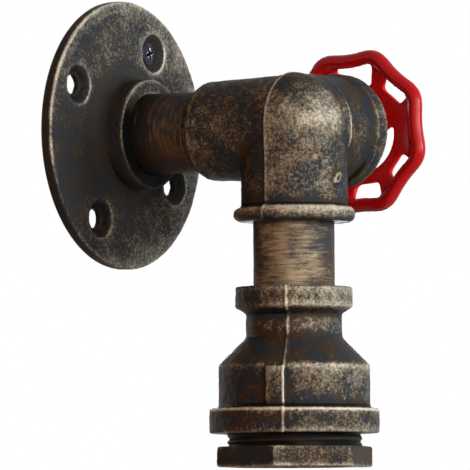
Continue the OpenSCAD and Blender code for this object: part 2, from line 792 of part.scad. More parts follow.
module switch_housing() {
    color(black_plastic) on_side() difference() {
        translate([0, 0, switch_in]) cylinder(r = switch_r, h = switch_l);
        translate([0, 0, switch_in - over]) cylinder(r = switch_in_r, h = switch_l - switch_end_t + over);
        translate([0, 0, switch_in]) cylinder(r = switch_neck_r + thread_gap, h = switch_l + over);
    }
}

module switch_cover() {
    color(board_brown) on_side() difference() {
        translate([0, 0, switch_in]) cylinder(r = switch_in_r - thread_gap, h = cover_t);
        for (s = [-1, 1]) translate([s * tab_r, 0, switch_in])
            cube([switch_tab_t + slip, switch_tab_w + slip, 2 * (cover_t + over)], center = true);
    }
}

module switch_neck() {
    collar_w = 2;
    color(steel) on_side() {
        tube(switch_neck_r, spindle_r + spindle_gap, neck_in, neck_out);
        tube(switch_neck_r + collar_w, spindle_r + spindle_gap, neck_in, neck_in + collar_t);
    }
}

module neck_washer() {
    washer_w = 3;
    color(steel) on_side()
        tube(switch_neck_r + washer_w, switch_neck_r + 2 * slip, plug_out, neck_nut_z);
}

module neck_locknut() {
    nut_af = neck_d + 4;
    color(steel) on_side() hex_ring(nut_af, switch_neck_r + thread_gap, neck_nut_z, neck_nut_h);
}

module switch_tabs() {
    foot_w = 3 * switch_tab_t;
    color(brass) on_side() for (s = [-1, 1]) translate([s * tab_r, -switch_tab_w / 2, 0]) {
        translate([-switch_tab_t / 2, 0, tab_out]) cube([switch_tab_t, switch_tab_w, tab_in - tab_out]);
        translate([-foot_w / 2, 0, tab_in - plate_t]) cube([foot_w, switch_tab_w, plate_t]);
    }
}

module switch_cam() {
    cam_room = 1.2;
    press_gap = 0.03;
    color(cam_grey) on_side() difference() {
        translate([0, 0, cam_in]) cylinder(r = switch_in_r - cam_room, h = cam_out - cam_in);
        translate([0, 0, cam_in + spindle_seat]) cylinder(r = spindle_r + press_gap, h = switch_l);
    }
}

module contact_blade() {
    blade_l = 2 * tab_r + 3 * switch_tab_t;
    color(brass) on_side() translate([0, 0, blade_in + plate_t / 2])
        cube([switch_tab_w, blade_l, plate_t], center = true);
}

module switch_spindle() {
    round_in = cam_in + spindle_seat;
    square_in = hub_in - spindle_seat / 2;
    square_out = hub_out - joint_gap;
    color(steel) on_side() {
        translate([0, 0, round_in]) cylinder(r = spindle_r, h = hub_in - round_in);
        translate([-square_w / 2, -square_w / 2, square_in])
            cube([square_w, square_w, square_out - square_in]);
        translate([0, 0, square_in]) cylinder(d = nut_stud_d, h = nut_stud_end - square_in);
    }
}

// Handwheel: a wavy rim, a dished web with slots, spokes and a hub
function wave(a) = (rim_r + lobe_out * cos(lobes * a)) * [cos(a + lobe_angle), sin(a + lobe_angle)];

module wheel_rim() {
    n = 12 * lobes;
    k = 10;
    middle = [for (i = [0:n - 1]) wave(360 * i / n)];
    points = [for (i = [0:n - 1])
        let (along = unit(middle[(i + 1) % n] - middle[(i + n - 1) % n]), out = [along[1], -along[0]])
        for (j = [0:k - 1])
        let (across = middle[i] + rim_tube_r * cos(360 * j / k) * out)
        [across[0], across[1], wheel_x + rim_tube_r * sin(360 * j / k)]];
    faces = [for (i = [0:n - 1], j = [0:k - 1])
        let (a = i * k + j, b = i * k + (j + 1) % k, c = (a + k) % (n * k), d = (b + k) % (n * k))
        each [[a, b, d], [a, d, c]]];
    polyhedron(points, faces, convexity = 8);
}

// The dished sheet, as deep as the dish goes from the rim inwards
function web_z(r) = wheel_x + dish * (rim_r - r) / (rim_r - web_in_r);
module wheel_web() {
    rotate_extrude() polygon([
        [web_in_r, web_z(web_in_r) - web_t / 2], [rim_r, web_z(rim_r) - web_t / 2],
        [rim_r, web_z(rim_r) + web_t / 2], [web_in_r, web_z(web_in_r) + web_t / 2]]);
}

// A slot with round inner corners, open towards the rim
module wheel_slot() {
    corner_r = slot_in_r + slot_round;
    corner = slot_angle / 2 - asin(slot_round / corner_r);
    hull() for (s = [-1, 1]) rotate(s * corner) for (r = [corner_r, peak_r])
        translate([r, 0, wheel_x - web_t]) cylinder(r = slot_round, h = dish + 2 * web_t, $fn = 32);
}

// A flat spoke with rounded long edges
module wheel_spoke() {
    side = (spoke_w - spoke_t) / 2;
    hull() for (s = [-1, 1]) translate([0, s * side, web_x]) rotate([0, 90, 0])
        cylinder(d = spoke_t, h = web_in_r + spoke_t / 4, $fn = 32);
}

module handwheel() {
    hub_l = hub_out - hub_in;
    bore_w = square_w + 2 * thread_gap;
    color(enamel_red) on_side() mirror([1, 0, 0]) rotate(-90) difference() {
        union() {
            wheel_rim();
            difference() {
                wheel_web();
                for (i = [0:spokes - 1], s = [-1, 1])
                    rotate(paddle_angle + i * spoke_pitch + s * slot_turn) wheel_slot();
            }
            for (i = [0:spokes - 1]) rotate(spoke_angle + i * spoke_pitch) wheel_spoke();
            translate([0, 0, hub_in]) cylinder(d = wheel_hub_d, h = hub_l);
        }
        translate([-bore_w / 2, -bore_w / 2, hub_in - 1]) cube([bore_w, bore_w, hub_l + 2]);
    }
}

module handwheel_washer() {
    color(steel) on_side()
        tube(wheel_washer_d / 2, nut_stud_d / 2 + slip, hub_out, hub_out + wheel_washer_t);
}

module handwheel_nut() {
    color(steel) on_side()
        hex_ring(wheel_nut_af, nut_stud_d / 2 + thread_gap, hub_out + wheel_washer_t, wheel_nut_h);
}

// Crimp splices for the supply leads, and the wires
module crimp_splices() {
    hole_h = splice_depth + 2 * slip;
    color(splice_red) on_arm() for (i = [-1:1])
        translate([splice_at(i)[0], splice_at(i)[1], splice_start]) difference() {
            cylinder(d = splice_d, h = splice_l);
            for (z = [-over, splice_l - hole_h]) translate([0, 0, z])
                cylinder(r = wire_fit_r, h = hole_h + over);
        }
}

module live_wire() { wire(live_route, wire_brown); }
module switched_wire() { wire(switched_route, wire_black); }
module neutral_wire() { wire(neutral_route, wire_blue); }
module earth_wire() { wire(earth_route, wire_green); }

wall_flange();
flange_screw();
arm_nipple();
corner_elbow();
drop_nipple();
bell_reducer();
hex_bushing();
hollow_stud();
stud_locknuts();
upper_washer();
lower_washer();
earth_tag();
stud_grommet();
lampholder_cap();
lampholder_body();
screw_shell();
terminal_blocks();
terminal_screws();
terminal_rivets();
tongue_base();
contact_tongue();
port_bushing();
switch_housing();
switch_cover();
switch_neck();
neck_washer();
neck_locknut();
switch_tabs();
switch_cam();
contact_blade();
switch_spindle();
handwheel();
handwheel_washer();
handwheel_nut();
crimp_splices();
live_wire();
switched_wire();
neutral_wire();
earth_wire();
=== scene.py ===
import json
import math
import bmesh
import bpy
import numpy as np
from mathutils import Matrix, Vector, noise


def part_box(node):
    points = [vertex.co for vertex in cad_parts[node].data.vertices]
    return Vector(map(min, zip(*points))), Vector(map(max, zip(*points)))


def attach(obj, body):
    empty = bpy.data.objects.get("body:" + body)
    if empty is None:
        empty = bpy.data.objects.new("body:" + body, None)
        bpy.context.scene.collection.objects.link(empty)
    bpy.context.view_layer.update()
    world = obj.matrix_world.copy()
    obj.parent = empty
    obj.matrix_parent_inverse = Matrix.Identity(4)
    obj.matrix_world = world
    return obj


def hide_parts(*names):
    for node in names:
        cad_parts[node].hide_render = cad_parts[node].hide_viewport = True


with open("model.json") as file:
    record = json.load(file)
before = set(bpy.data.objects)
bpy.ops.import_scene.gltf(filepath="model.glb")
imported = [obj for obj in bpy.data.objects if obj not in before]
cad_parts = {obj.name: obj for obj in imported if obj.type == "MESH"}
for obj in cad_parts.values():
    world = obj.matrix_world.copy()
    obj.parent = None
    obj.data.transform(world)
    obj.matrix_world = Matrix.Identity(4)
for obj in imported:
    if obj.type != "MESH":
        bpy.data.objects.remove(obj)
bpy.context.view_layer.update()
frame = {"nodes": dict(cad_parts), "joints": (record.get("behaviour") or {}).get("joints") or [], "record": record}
print("frame loaded,", len(frame["nodes"]), "nodes")

mm = 0.001  # sizes below are in millimetres
tau = 2 * math.pi
wheelPlane = frame["joints"][0]["pos_m"][0] / mm  # drop's axis to the wheel's rim
reach = -frame["joints"][0]["pos_m"][1] / mm  # wall to the drop's axis

# Places: each has its own axis along local z
inMm = Matrix.Scale(mm, 4)
onArm = inMm @ Matrix.Rotation(tau / 4, 4, "X")
onDrop = inMm @ Matrix.Translation((0, -reach, 0))
onRear = onDrop @ Matrix.Rotation(-tau / 4, 4, "X")
onSide = onDrop @ Matrix.Rotation(tau / 4, 4, "Y")
onWheel = onSide @ Matrix.Scale(-1, 4, (1, 0, 0)) @ Matrix.Rotation(-tau / 4, 4, "Z")

# Camera, at the photograph's angle
photo = {
    "pixels": 470,  # side of the square picture
    "focal": 7266,  # in those pixels
    "distance": 2400,
    "azimuth": -56.4,
    "elevation": -2.8,
    "roll": -0.25,
    "aim": (-10.72, -54.8, -35.4),
}


def placeCamera():
    azimuth, elevation, roll = (math.radians(photo[key]) for key in ("azimuth", "elevation", "roll"))
    level = math.cos(elevation)
    toward = Vector((math.sin(azimuth) * level, -math.cos(azimuth) * level, math.sin(elevation)))
    right = Vector((math.cos(azimuth), math.sin(azimuth), 0))
    up = toward.cross(right)
    across = right * math.cos(roll) + up * math.sin(roll)
    above = up * math.cos(roll) - right * math.sin(roll)
    spot = (Vector(photo["aim"]) + toward * photo["distance"]) * mm
    data = bpy.data.cameras.new("photoCamera")
    data.sensor_width = 36
    data.lens = data.sensor_width * photo["focal"] / photo["pixels"]
    data.clip_end = 50
    camera = bpy.data.objects.new("photoCamera", data)
    camera.matrix_world = Matrix.Translation(spot) @ Matrix((across, above, toward)).transposed().to_4x4()
    bpy.context.scene.collection.objects.link(camera)
    bpy.context.scene.camera = camera


placeCamera()
print("camera placed")


# Shader maths as plain sums
class Value:
    def __init__(self, recipe, socket):
        self.recipe = recipe
        self.socket = socket

    def sums(self, operation, left, right):
        return self.recipe.add("ShaderNodeMath", {"operation": operation}, {0: left, 1: right})

    def __add__(self, other):
        return self.sums("ADD", self, other)

    def __radd__(self, other):
        return self.sums("ADD", other, self)

    def __sub__(self, other):
        return self.sums("SUBTRACT", self, other)

    def __rsub__(self, other):
        return self.sums("SUBTRACT", other, self)

    def __mul__(self, other):
        return self.sums("MULTIPLY", self, other)

    def __rmul__(self, other):
        return self.sums("MULTIPLY", other, self)


class Recipe:
    def __init__(self, tree):
        self.tree = tree
        tree.nodes.clear()

    def add(self, kind, settings=None, sockets=None, out=0):
        node = self.tree.nodes.new(kind)
        for key, value in (settings or {}).items():
            setattr(node, key, value)
        for key, value in (sockets or {}).items():
            if isinstance(value, Value):
                self.tree.links.new(value.socket, node.inputs[key])
            else:
                node.inputs[key].default_value = value
        return Value(self, node.outputs[out] if node.outputs else None)

    def blend(self, share, first, second):
        return self.add("ShaderNodeMix", {"data_type": "RGBA"}, {0: share, 6: first, 7: second}, 2)

    def ramp(self, value, low, high):
        settings = {"interpolation_type": "SMOOTHSTEP"}
        return self.add("ShaderNodeMapRange", settings, {0: value, 1: low, 2: high})

    def place(self, stretch=(1, 1, 1)):
        where = self.add("ShaderNodeTexCoord", out="Object")
        return self.add("ShaderNodeVectorMath", {"operation": "MULTIPLY"}, {0: where, 1: stretch})

    def grain(self, where, size, detail=3, rough=0.6):
        sockets = {"Vector": where, "Scale": 1 / (size * mm), "Detail": detail, "Roughness": rough}
        return self.add("ShaderNodeTexNoise", None, sockets)

    def bump(self, height, depth, strength=1):
        sockets = {"Strength": strength, "Distance": depth * mm, "Height": height}
        return self.add("ShaderNodeBump", None, sockets)

    def reliefAndLight(self):
        return self.add("ShaderNodeAttribute", {"attribute_name": "reliefAndLight"}, None, "Fac")


def newFinish(name):
    material = bpy.data.materials.new(name)
    material.use_nodes = True
    return material, Recipe(material.node_tree)


def surface(recipe, sockets):
    shader = recipe.add("ShaderNodeBsdfPrincipled", None, sockets)
    recipe.add("ShaderNodeOutputMaterial", None, {"Surface": shader})


def rgb(red, green, blue):
    return (red, green, blue, 1)


# Dark bronze paint on rough castings, with gold rubbed over what stands proud, and painted light and shade from
# each piece's marks
castPaint = {
    "dark": rgb(0.024, 0.026, 0.029),
    "brown": rgb(0.044, 0.027, 0.015),
    "gold": rgb(0.25, 0.205, 0.148),
    "paleGold": rgb(0.68, 0.58, 0.44),
    "paintedShade": rgb(0.006, 0.006, 0.006),  # painted shade in the deepest corners and hollows
    "blotch": 8,  # size of the patches, then of the lumps and the specks on them
    "lump": 0.8,
    "speck": 0.34,
    "rubFrom": -0.15,
    "rubTo": 0.45,
    "rough": 0.44,
    "shine": 0.02,
    "depth": 0.22,
}
flangePaint = {**castPaint, "dark": rgb(0.027, 0.0275, 0.029), "brown": rgb(0.036, 0.028, 0.021),
               "gold": rgb(0.20, 0.175, 0.14), "paleGold": rgb(0.60, 0.51, 0.40)}


def castFinish(name, paint):
    material, recipe = newFinish(name)
    where = recipe.place()
    reliefAndLight = recipe.reliefAndLight()
    blotch = recipe.grain(where, paint["blotch"], 3)
    lump = recipe.grain(where, paint["lump"], 2, 0.5)
    speck = recipe.grain(where, paint["speck"], 3, 0.65)
    wornAndLit = reliefAndLight * 0.6 + (lump - 0.5) * 1.0 + (speck - 0.5) * 0.8 + (blotch - 0.5) * 0.7
    rub = recipe.ramp(wornAndLit, paint["rubFrom"], paint["rubTo"])
    coat = recipe.blend(recipe.ramp(blotch, 0.40, 0.62), paint["dark"], paint["brown"])
    # painted shade where the marks are lowest
    coat = recipe.blend(recipe.ramp(reliefAndLight, -1.15, -2.0), coat, paint["paintedShade"])
    gold = recipe.blend(recipe.ramp(wornAndLit, 0.2, 0.9), paint["gold"], paint["paleGold"])
    surface(recipe, {
        "Base Color": recipe.blend(rub * 0.9, coat, gold),
        "Metallic": rub * 0.05,
        "Roughness": paint["rough"] - rub * 0.06 + (speck - 0.5) * 0.3,
        "Specular IOR Level": paint["shine"],
        "Normal": recipe.bump(lump * 0.65 + speck * 0.35, paint["depth"], 0.9),
    })
    return material


# Smooth pipe, with the rub in streaks around it, and painted shadow near the wall
pipePaint = {
    "dark": rgb(0.036, 0.037, 0.040),
    "brown": rgb(0.072, 0.041, 0.023),
    "gold": rgb(0.36, 0.28, 0.18),
    "paintedShadow": rgb(0.010, 0.010, 0.009),
    "streak": 0.8,  # size of the streaks, patches and specks
    "blotch": 9,
    "speck": 0.3,
    "rough": 0.42,
    "shine": 0.02,
    "depth": 0.14,
}


def pipeFinish(name, stretch, rubFrom, rubTo, shadowFrom=None, shadowTo=None):
    material, recipe = newFinish(name)
    where = recipe.place()
    streak = recipe.grain(recipe.place(stretch), pipePaint["streak"], 3, 0.6)
    blotch = recipe.grain(where, pipePaint["blotch"], 3)
    speck = recipe.grain(where, pipePaint["speck"], 3, 0.7)
    reliefAndLight = recipe.reliefAndLight()
    wornAndLit = reliefAndLight * 0.6 + (streak - 0.5) * 1.3 + (speck - 0.5) * 1.1 + (blotch - 0.5) * 0.8
    rub = recipe.ramp(wornAndLit, rubFrom, rubTo)
    paint = recipe.blend(recipe.ramp(blotch, 0.35, 0.65), pipePaint["dark"], pipePaint["brown"])
    # painted shadow towards the wall
    if shadowTo:
        along = recipe.add("ShaderNodeSeparateXYZ", None, {0: where}, "Y")
        paint = recipe.blend(recipe.ramp(along, shadowFrom * mm, shadowTo * mm), paint, pipePaint["paintedShadow"])
    surface(recipe, {
        "Base Color": recipe.blend(rub, paint, pipePaint["gold"]),
        "Metallic": rub * 0.05,
        "Roughness": pipePaint["rough"] + (speck - 0.5) * 0.25,
        "Specular IOR Level": pipePaint["shine"],
        "Normal": recipe.bump(streak * 0.6 + speck * 0.4, pipePaint["depth"], 0.7),
    })
    return material


# Thick red enamel, deeper where its relief is low; the web is painted brighter as painted light
enamel = {
    "bright": rgb(0.64, 0.006, 0.009),
    "deep": rgb(0.40, 0.004, 0.006),
    "cloud": 9,  # size of the clouds and of the orange peel
    "peel": 1.6,
    "peelDepth": 0.06,
    "rough": 0.20,
    "shine": 0.12,
    "coat": 0.05,
}


def enamelFinish(name):
    material, recipe = newFinish(name)
    where = recipe.place()
    reliefAndLight = recipe.reliefAndLight()
    cloud = recipe.grain(where, enamel["cloud"], 2)
    peel = recipe.grain(where, enamel["peel"], 2)
    # the rim painted deeper and the web brighter: painted light
    pooledAndShaded = recipe.ramp(reliefAndLight + (cloud - 0.5) * 0.5, 0.25, -0.6)
    surface(recipe, {
        "Base Color": recipe.blend(pooledAndShaded, enamel["bright"], enamel["deep"]),
        "Roughness": enamel["rough"] + cloud * 0.12,
        "Specular IOR Level": enamel["shine"],
        "Coat Weight": enamel["coat"],
        "Coat Roughness": 0.1,
        "Normal": recipe.bump(peel, enamel["peelDepth"], 0.5),
    })
    return material


# Finishes with an even colour: dark and light shade, metallic, roughness, grain size and depth
plainPaints = {
    "dark_steel": (rgb(0.010, 0.009, 0.014), rgb(0.034, 0.030, 0.044), 0.85, 0.24, 0.8, 0.02),
    "zinc_steel": (rgb(0.46, 0.47, 0.49), rgb(0.66, 0.67, 0.68), 1.0, 0.34, 0.7, 0.02),
    "contact_brass": (rgb(0.60, 0.40, 0.15), rgb(0.78, 0.57, 0.26), 1.0, 0.30, 1.1, 0.02),
    "porcelain": (rgb(0.78, 0.76, 0.70), rgb(0.86, 0.85, 0.81), 0.0, 0.16, 3.5, 0.03),
    "black_plastic": (rgb(0.018, 0.018, 0.020), rgb(0.034, 0.034, 0.037), 0.0, 0.52, 0.5, 0.03),
    "brown_board": (rgb(0.17, 0.085, 0.035), rgb(0.29, 0.155, 0.07), 0.0, 0.6, 0.6, 0.03),
    "grey_plastic": (rgb(0.40, 0.40, 0.37), rgb(0.50, 0.50, 0.47), 0.0, 0.5, 0.6, 0.02),
    "splice_red": (rgb(0.42, 0.03, 0.025), rgb(0.58, 0.06, 0.05), 0.0, 0.3, 1.4, 0.03),
    "wire_brown": (rgb(0.16, 0.065, 0.025), rgb(0.24, 0.11, 0.045), 0.0, 0.5, 1.0, 0.02),
    "wire_black": (rgb(0.022, 0.022, 0.022), rgb(0.045, 0.045, 0.045), 0.0, 0.5, 1.0, 0.02),
    "wire_blue": (rgb(0.03, 0.09, 0.34), rgb(0.05, 0.14, 0.46), 0.0, 0.5, 1.0, 0.02),
    "wire_green": (rgb(0.15, 0.34, 0.04), rgb(0.24, 0.46, 0.08), 0.0, 0.5, 1.0, 0.02),
}
paintedGlints = {"dark_steel": rgb(0.55, 0.53, 0.60)}  # painted glints on the edges of the cross recess


def plainFinish(name, low, high, metal, rough, size, depth):
    material, recipe = newFinish(name)
    where = recipe.place()
    cloud = recipe.grain(where, size * 6, 3)
    fine = recipe.grain(where, size, 4, 0.65)
    tone = recipe.ramp(cloud * 0.6 + fine * 0.4, 0.3, 0.7)
    colour = recipe.blend(tone, low, high)
    if name in paintedGlints:
        # painted glints on sharp edges
        wornAndLit = recipe.reliefAndLight() + (fine - 0.5) * 0.8
        colour = recipe.blend(recipe.ramp(wornAndLit, 0.8, 1.5), colour, paintedGlints[name])
    surface(recipe, {
        "Base Color": colour,
        "Metallic": metal,
        "Roughness": rough - 0.08 + fine * 0.16,
        "Normal": recipe.bump(fine, depth, 0.6),
    })
    return material


finishes = {slot: plainFinish(slot, *paint) for slot, paint in plainPaints.items()}
finishes["cast_bronze"] = castFinish("castBronze", castPaint)
finishes["pipe_bronze"] = pipeFinish("dropPipeBronze", stretch=(0.12, 0.12, 1), rubFrom=-0.30, rubTo=0.42)
finishes["red_enamel"] = enamelFinish("redEnamel")
flangeBronze = castFinish("flangeBronze", flangePaint)
armPipeBronze = pipeFinish("armPipeBronze", stretch=(0.12, 1, 0.12), rubFrom=-0.10, rubTo=0.80,
                           shadowFrom=-30, shadowTo=-14)  # painted shadow close to the wall
for part in frame["record"]["subparts"]:
    for place in frame["nodes"][part["node"]].material_slots:
        place.material = finishes[part["material_slot"]]
print("finishes made:", len(finishes))


# Outlines and turned shapes
def outline(corners):
    # corners are (radius, height) or (radius, height, rounding)
    points = []
    for i, corner in enumerate(corners):
        here = Vector(corner[:2])
        if len(corner) < 3:
            points.append(here)
            continue
        back = (Vector(corners[i - 1][:2]) - here).normalized()
        ahead = (Vector(corners[(i + 1) % len(corners)][:2]) - here).normalized()
        half = back.angle(ahead) / 2
        middle = here + (back + ahead).normalized() * corner[2] / math.sin(half)
        start = here + back * corner[2] / math.tan(half) - middle
        sweep = start.angle_signed(here + ahead * corner[2] / math.tan(half) - middle)
        count = max(3, math.ceil(abs(sweep) / 0.26))  # about 15 degrees each
        points += [middle + Matrix.Rotation(-sweep * k / count, 2) @ start for k in range(count + 1)]
    return points


def spaced(points, gap, closed=True):
    # more points along an outline, none further apart than the gap
    rows = []
    for here, ahead in zip(points, points[1:] + points[:1] if closed else points[1:]):
        count = max(1, math.ceil((ahead - here).length / gap))
        rows += [here.lerp(ahead, k / count) for k in range(count)]
    return rows if closed else rows + points[-1:]


def faceOut(shape):
    bmesh.ops.recalc_face_normals(shape, faces=shape.faces)
    return shape


def lathe(rows, place, steps=160, shape=None):
    # a row's radius may be a function of the angle
    if shape is None:
        shape = bmesh.new()
    rings = []
    for radius, height in rows:
        if radius == 0:
            rings.append([shape.verts.new(place @ Vector((0, 0, height)))])
            continue
        ring = []
        for k in range(steps):
            angle = tau * k / steps
            size = radius(angle) if callable(radius) else radius
            spot = Vector((size * math.cos(angle), size * math.sin(angle), height))
            ring.append(shape.verts.new(place @ spot))
        rings.append(ring)
    pairs = list(zip(rings, rings[1:]))
    if len(rings[0]) > 1:
        pairs.append((rings[-1], rings[0]))
    for lower, upper in pairs:
        for k in range(steps):
            ahead = (k + 1) % steps
            if len(lower) == 1:
                shape.faces.new((lower[0], upper[ahead], upper[k]))
            elif len(upper) == 1:
                shape.faces.new((lower[k], lower[ahead], upper[0]))
            else:
                shape.faces.new((lower[k], lower[ahead], upper[ahead], upper[k]))
    return faceOut(shape)


def loft(rings, loop=False):
    # a skin over rings of points, closed at its ends or joined to a loop
    shape = bmesh.new()
    corners = [[shape.verts.new(point) for point in ring] for ring in rings]
    for here, ahead in zip(corners, corners[1:] + corners[:1] if loop else corners[1:]):
        for k in range(len(here)):
            after = (k + 1) % len(here)
            shape.faces.new((here[k], here[after], ahead[after], ahead[k]))
    if not loop:
        shape.faces.new(corners[0])
        shape.faces.new(corners[-1])
    return faceOut(shape)


def prism(points, low, high, place):
    return loft([[place @ Vector((x, y, z)) for x, y in points] for z in (low, high)])


def flatRadius(sides, acrossFlats, turn, most):
    # an even polygon with a corner at turn, and its corners cut back
    def radius(angle):
        off = (angle - turn) % (tau / sides) - tau / sides / 2
        return min(acrossFlats / 2 / math.cos(off), most)
    return radius


def evenly(low, high, gap):
    # heights from low to high, none further apart than the gap
    count = math.ceil(abs(high - low) / gap)
    return [low + (high - low) * k / count for k in range(count + 1)]


def hexRows(acrossFlats, low, high, turn, gap, cut=0.6):
    # a hexagon whose corners are cut by a cone at both ends
    corner = acrossFlats / 2 / math.cos(tau / 12)
    slope = math.tan(tau / 6)
    rows = []
    for height in evenly(low, high, gap):
        cone = corner - cut + min(height - low, high - height) / slope
        rows.append((flatRadius(6, acrossFlats, turn, min(cone, corner)), height))
    return rows


def threadRadius(crest, depth, pitch, height):
    def radius(angle):
        turn = (height / pitch - angle / tau) % 1
        flank = 1.5 * abs(2 * turn - 1) - 0.25  # leaves crests and roots a little flat
        return crest - depth * min(1, max(0, flank))
    return radius


def threadRows(crest, depth, pitch, low, high):
    heights = evenly(low, high, pitch / 10)
    return [(threadRadius(crest, depth, pitch, height), height) for height in heights]


# Objects from shapes
def makeObject(name, shape):
    mesh = bpy.data.meshes.new(name)
    shape.to_mesh(mesh)
    shape.free()
    piece = bpy.data.objects.new(name, mesh)
    bpy.context.scene.collection.objects.link(piece)
    return piece


def settle(piece):
    # the modifiers' result becomes the mesh
    graph = bpy.context.evaluated_depsgraph_get()
    mesh = bpy.data.meshes.new_from_object(piece.evaluated_get(graph))
    piece.modifiers.clear()
    old = piece.data
    piece.data = mesh
    bpy.data.meshes.remove(old)


def combine(body, shape, operation):
    tool = makeObject("tool", shape)
    change = body.modifiers.new("combine", "BOOLEAN")
    change.operation = operation
    change.solver = "MANIFOLD"
    change.object = tool
    settle(body)
    bpy.data.objects.remove(tool)


def gather(items, key, width, kind=float):
    values = np.empty(len(items) * width, kind)
    items.foreach_get(key, values)
    return values.reshape(-1, width)


def pointsOf(piece):
    return gather(piece.data.vertices, "co", 3)


def normalsOf(piece):
    return gather(piece.data.vertex_normals, "vector", 3)


def edgesOf(piece):
    return gather(piece.data.edges, "vertices", 2, np.int32)


def setPoints(piece, points):
    piece.data.vertices.foreach_set("co", points.ravel())
    piece.data.update()


def averaged(values, edges, rounds=1):
    # each point takes the mean of its neighbours
    first, second = edges.T
    size = len(values)
    count = np.bincount(first, minlength=size) + np.bincount(second, minlength=size)
    for _ in range(rounds):
        sums = [np.bincount(first, column[second], size) + np.bincount(second, column[first], size)
                for column in values.T]
        values = np.array(sums).T / count[:, None]
    return values


def relax(piece, rounds, back=0.52):
    # rounds off what is sharp; going back keeps the volume, and without it edges wear down
    points = pointsOf(piece)
    edges = edgesOf(piece)
    for _ in range(rounds):
        points += 0.5 * (averaged(points, edges) - points)
        if back:
            points -= back * (averaged(points, edges) - points)
    setPoints(piece, points)


def remesh(piece, voxel, rounds):
    change = piece.modifiers.new("even", "REMESH")
    change.mode = "VOXEL"
    change.voxel_size = voxel * mm
    settle(piece)
    relax(piece, rounds)


def roughen(piece, layers, weight, extra=0):
    # layers are (size, height) of the casting's lumps and pits
    points = pointsOf(piece)
    shift = np.zeros(len(points)) + extra
    for seed, (size, height) in enumerate(layers):
        offset = Vector((17.3 * seed, 4.1, 9.7))
        shift += [height * noise.noise(Vector(point) / (size * mm) + offset) for point in points]
    setPoints(piece, points + normalsOf(piece) * (shift * weight * mm)[:, None])


def setRelief(piece, reliefAndLight):
    marks = piece.data.attributes.new("reliefAndLight", "FLOAT", "POINT")
    marks.data.foreach_set("value", reliefAndLight.astype(np.float32))


reliefMix = {
    "near": 0.6,  # share of the bend close by and further around
    "wide": 1.8,
    "least": -1.2,
    "most": 1.4,
    "smoothing": 120,  # rounds for the smooth form that a point stands out from
    "level": 0.15,
}


def markRelief(piece, extra=0, proud=0.45, spread=8):
    # above zero where the surface stands proud, below zero where it is hollow; the extra adds rub, painted light
    # and painted shade
    points = pointsOf(piece)
    edges = edgesOf(piece)
    normals = normalsOf(piece)
    gap = np.linalg.norm(points[edges[:, 0]] - points[edges[:, 1]], axis=1).mean()
    bend = -((averaged(points, edges) - points) * normals).sum(1)[:, None] / gap ** 2 * mm
    near = averaged(bend, edges)
    wide = averaged(near, edges, spread)
    smooth = averaged(points, edges, reliefMix["smoothing"])
    stand = ((points - smooth) * normals).sum(1) / mm - reliefMix["level"]
    bend = (near * reliefMix["near"] + wide * reliefMix["wide"])[:, 0]
    bend = np.clip(bend, reliefMix["least"], reliefMix["most"])
    setRelief(piece, bend + np.clip(stand, -1, proud) + extra)


def finishPiece(piece, node, slot, finish=None, body="fixture", crease=None):
    piece.data.materials.clear()
    piece.data.materials.append(finish or finishes[slot])
    piece.data.shade_smooth()
    if crease:
        piece.data.set_sharp_from_angle(angle=math.radians(crease))
    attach(piece, body)
    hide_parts(node)
    print(piece.name, len(piece.data.vertices), "points")


def outward(piece, axes):
    # 1 on the outside of a casting, 0 in its bores; axes are (place, start, end)
    points = pointsOf(piece)
    normals = normalsOf(piece)
    best = None
    for place, *ends in axes:
        start, end = (np.array(place @ Vector((0, 0, height))) for height in ends)
        along = end - start
        share = np.clip((points - start) @ along / (along @ along), 0, 1)
        away = points - start - share[:, None] * along
        size = np.linalg.norm(away, axis=1)
        facing = (away * normals).sum(1) / np.maximum(size, 1e-9)
        if best is None:
            best = [size, facing]
        else:
            nearer = size < best[0]
            best = [np.where(nearer, size, best[0]), np.where(nearer, facing, best[1])]
    return np.clip(best[1] * 3, 0, 1)


def toward(piece, side):
    # how far each point faces a side, an angle in degrees about the drop's axis
    turn = math.radians(side)
    return normalsOf(piece) @ (math.cos(turn), math.sin(turn), 0)


def span(node, axis):
    # where a node begins and ends along an axis
    return [getattr(corner, axis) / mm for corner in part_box(node)]


def bell(values, width):
    return np.exp(-(values / width) ** 2)


def rise(values, width):
    return 1 / (1 + np.exp(-values / width))


# Wall flange
flange = {
    "bore": 10.8,
    "seat": 13.5,
    "stop": 1.5,
    "plate": 4.5,
    "hub": 18.45,
    "edgeRound": 0.9,
    "backRound": 1.6,
    "edgeLine": 0.7,  # width of the bright line along the edge, gold rub with a painted highlight on the left and top
    "hubFillet": 5,
    "hubRound": 0.7,
    "holeCircle": 32.5,
    "holeAngle": 61,
    "hole": 3.3,
    "sink": 6.8,
    "sinkDepth": 2.7,
    "holes": 4,
    "holeSteps": 64,
    "mouthEdge": 0.3,
    "voxel": 0.4,
    "lumps": [(5.0, 0.12), (1.6, 0.08), (0.9, 0.05)],
}


def flangeHoles():
    for k in range(flange["holes"]):
        angle = math.radians(flange["holeAngle"]) + k * tau / flange["holes"]
        yield flange["holeCircle"] * math.cos(angle), flange["holeCircle"] * math.sin(angle)
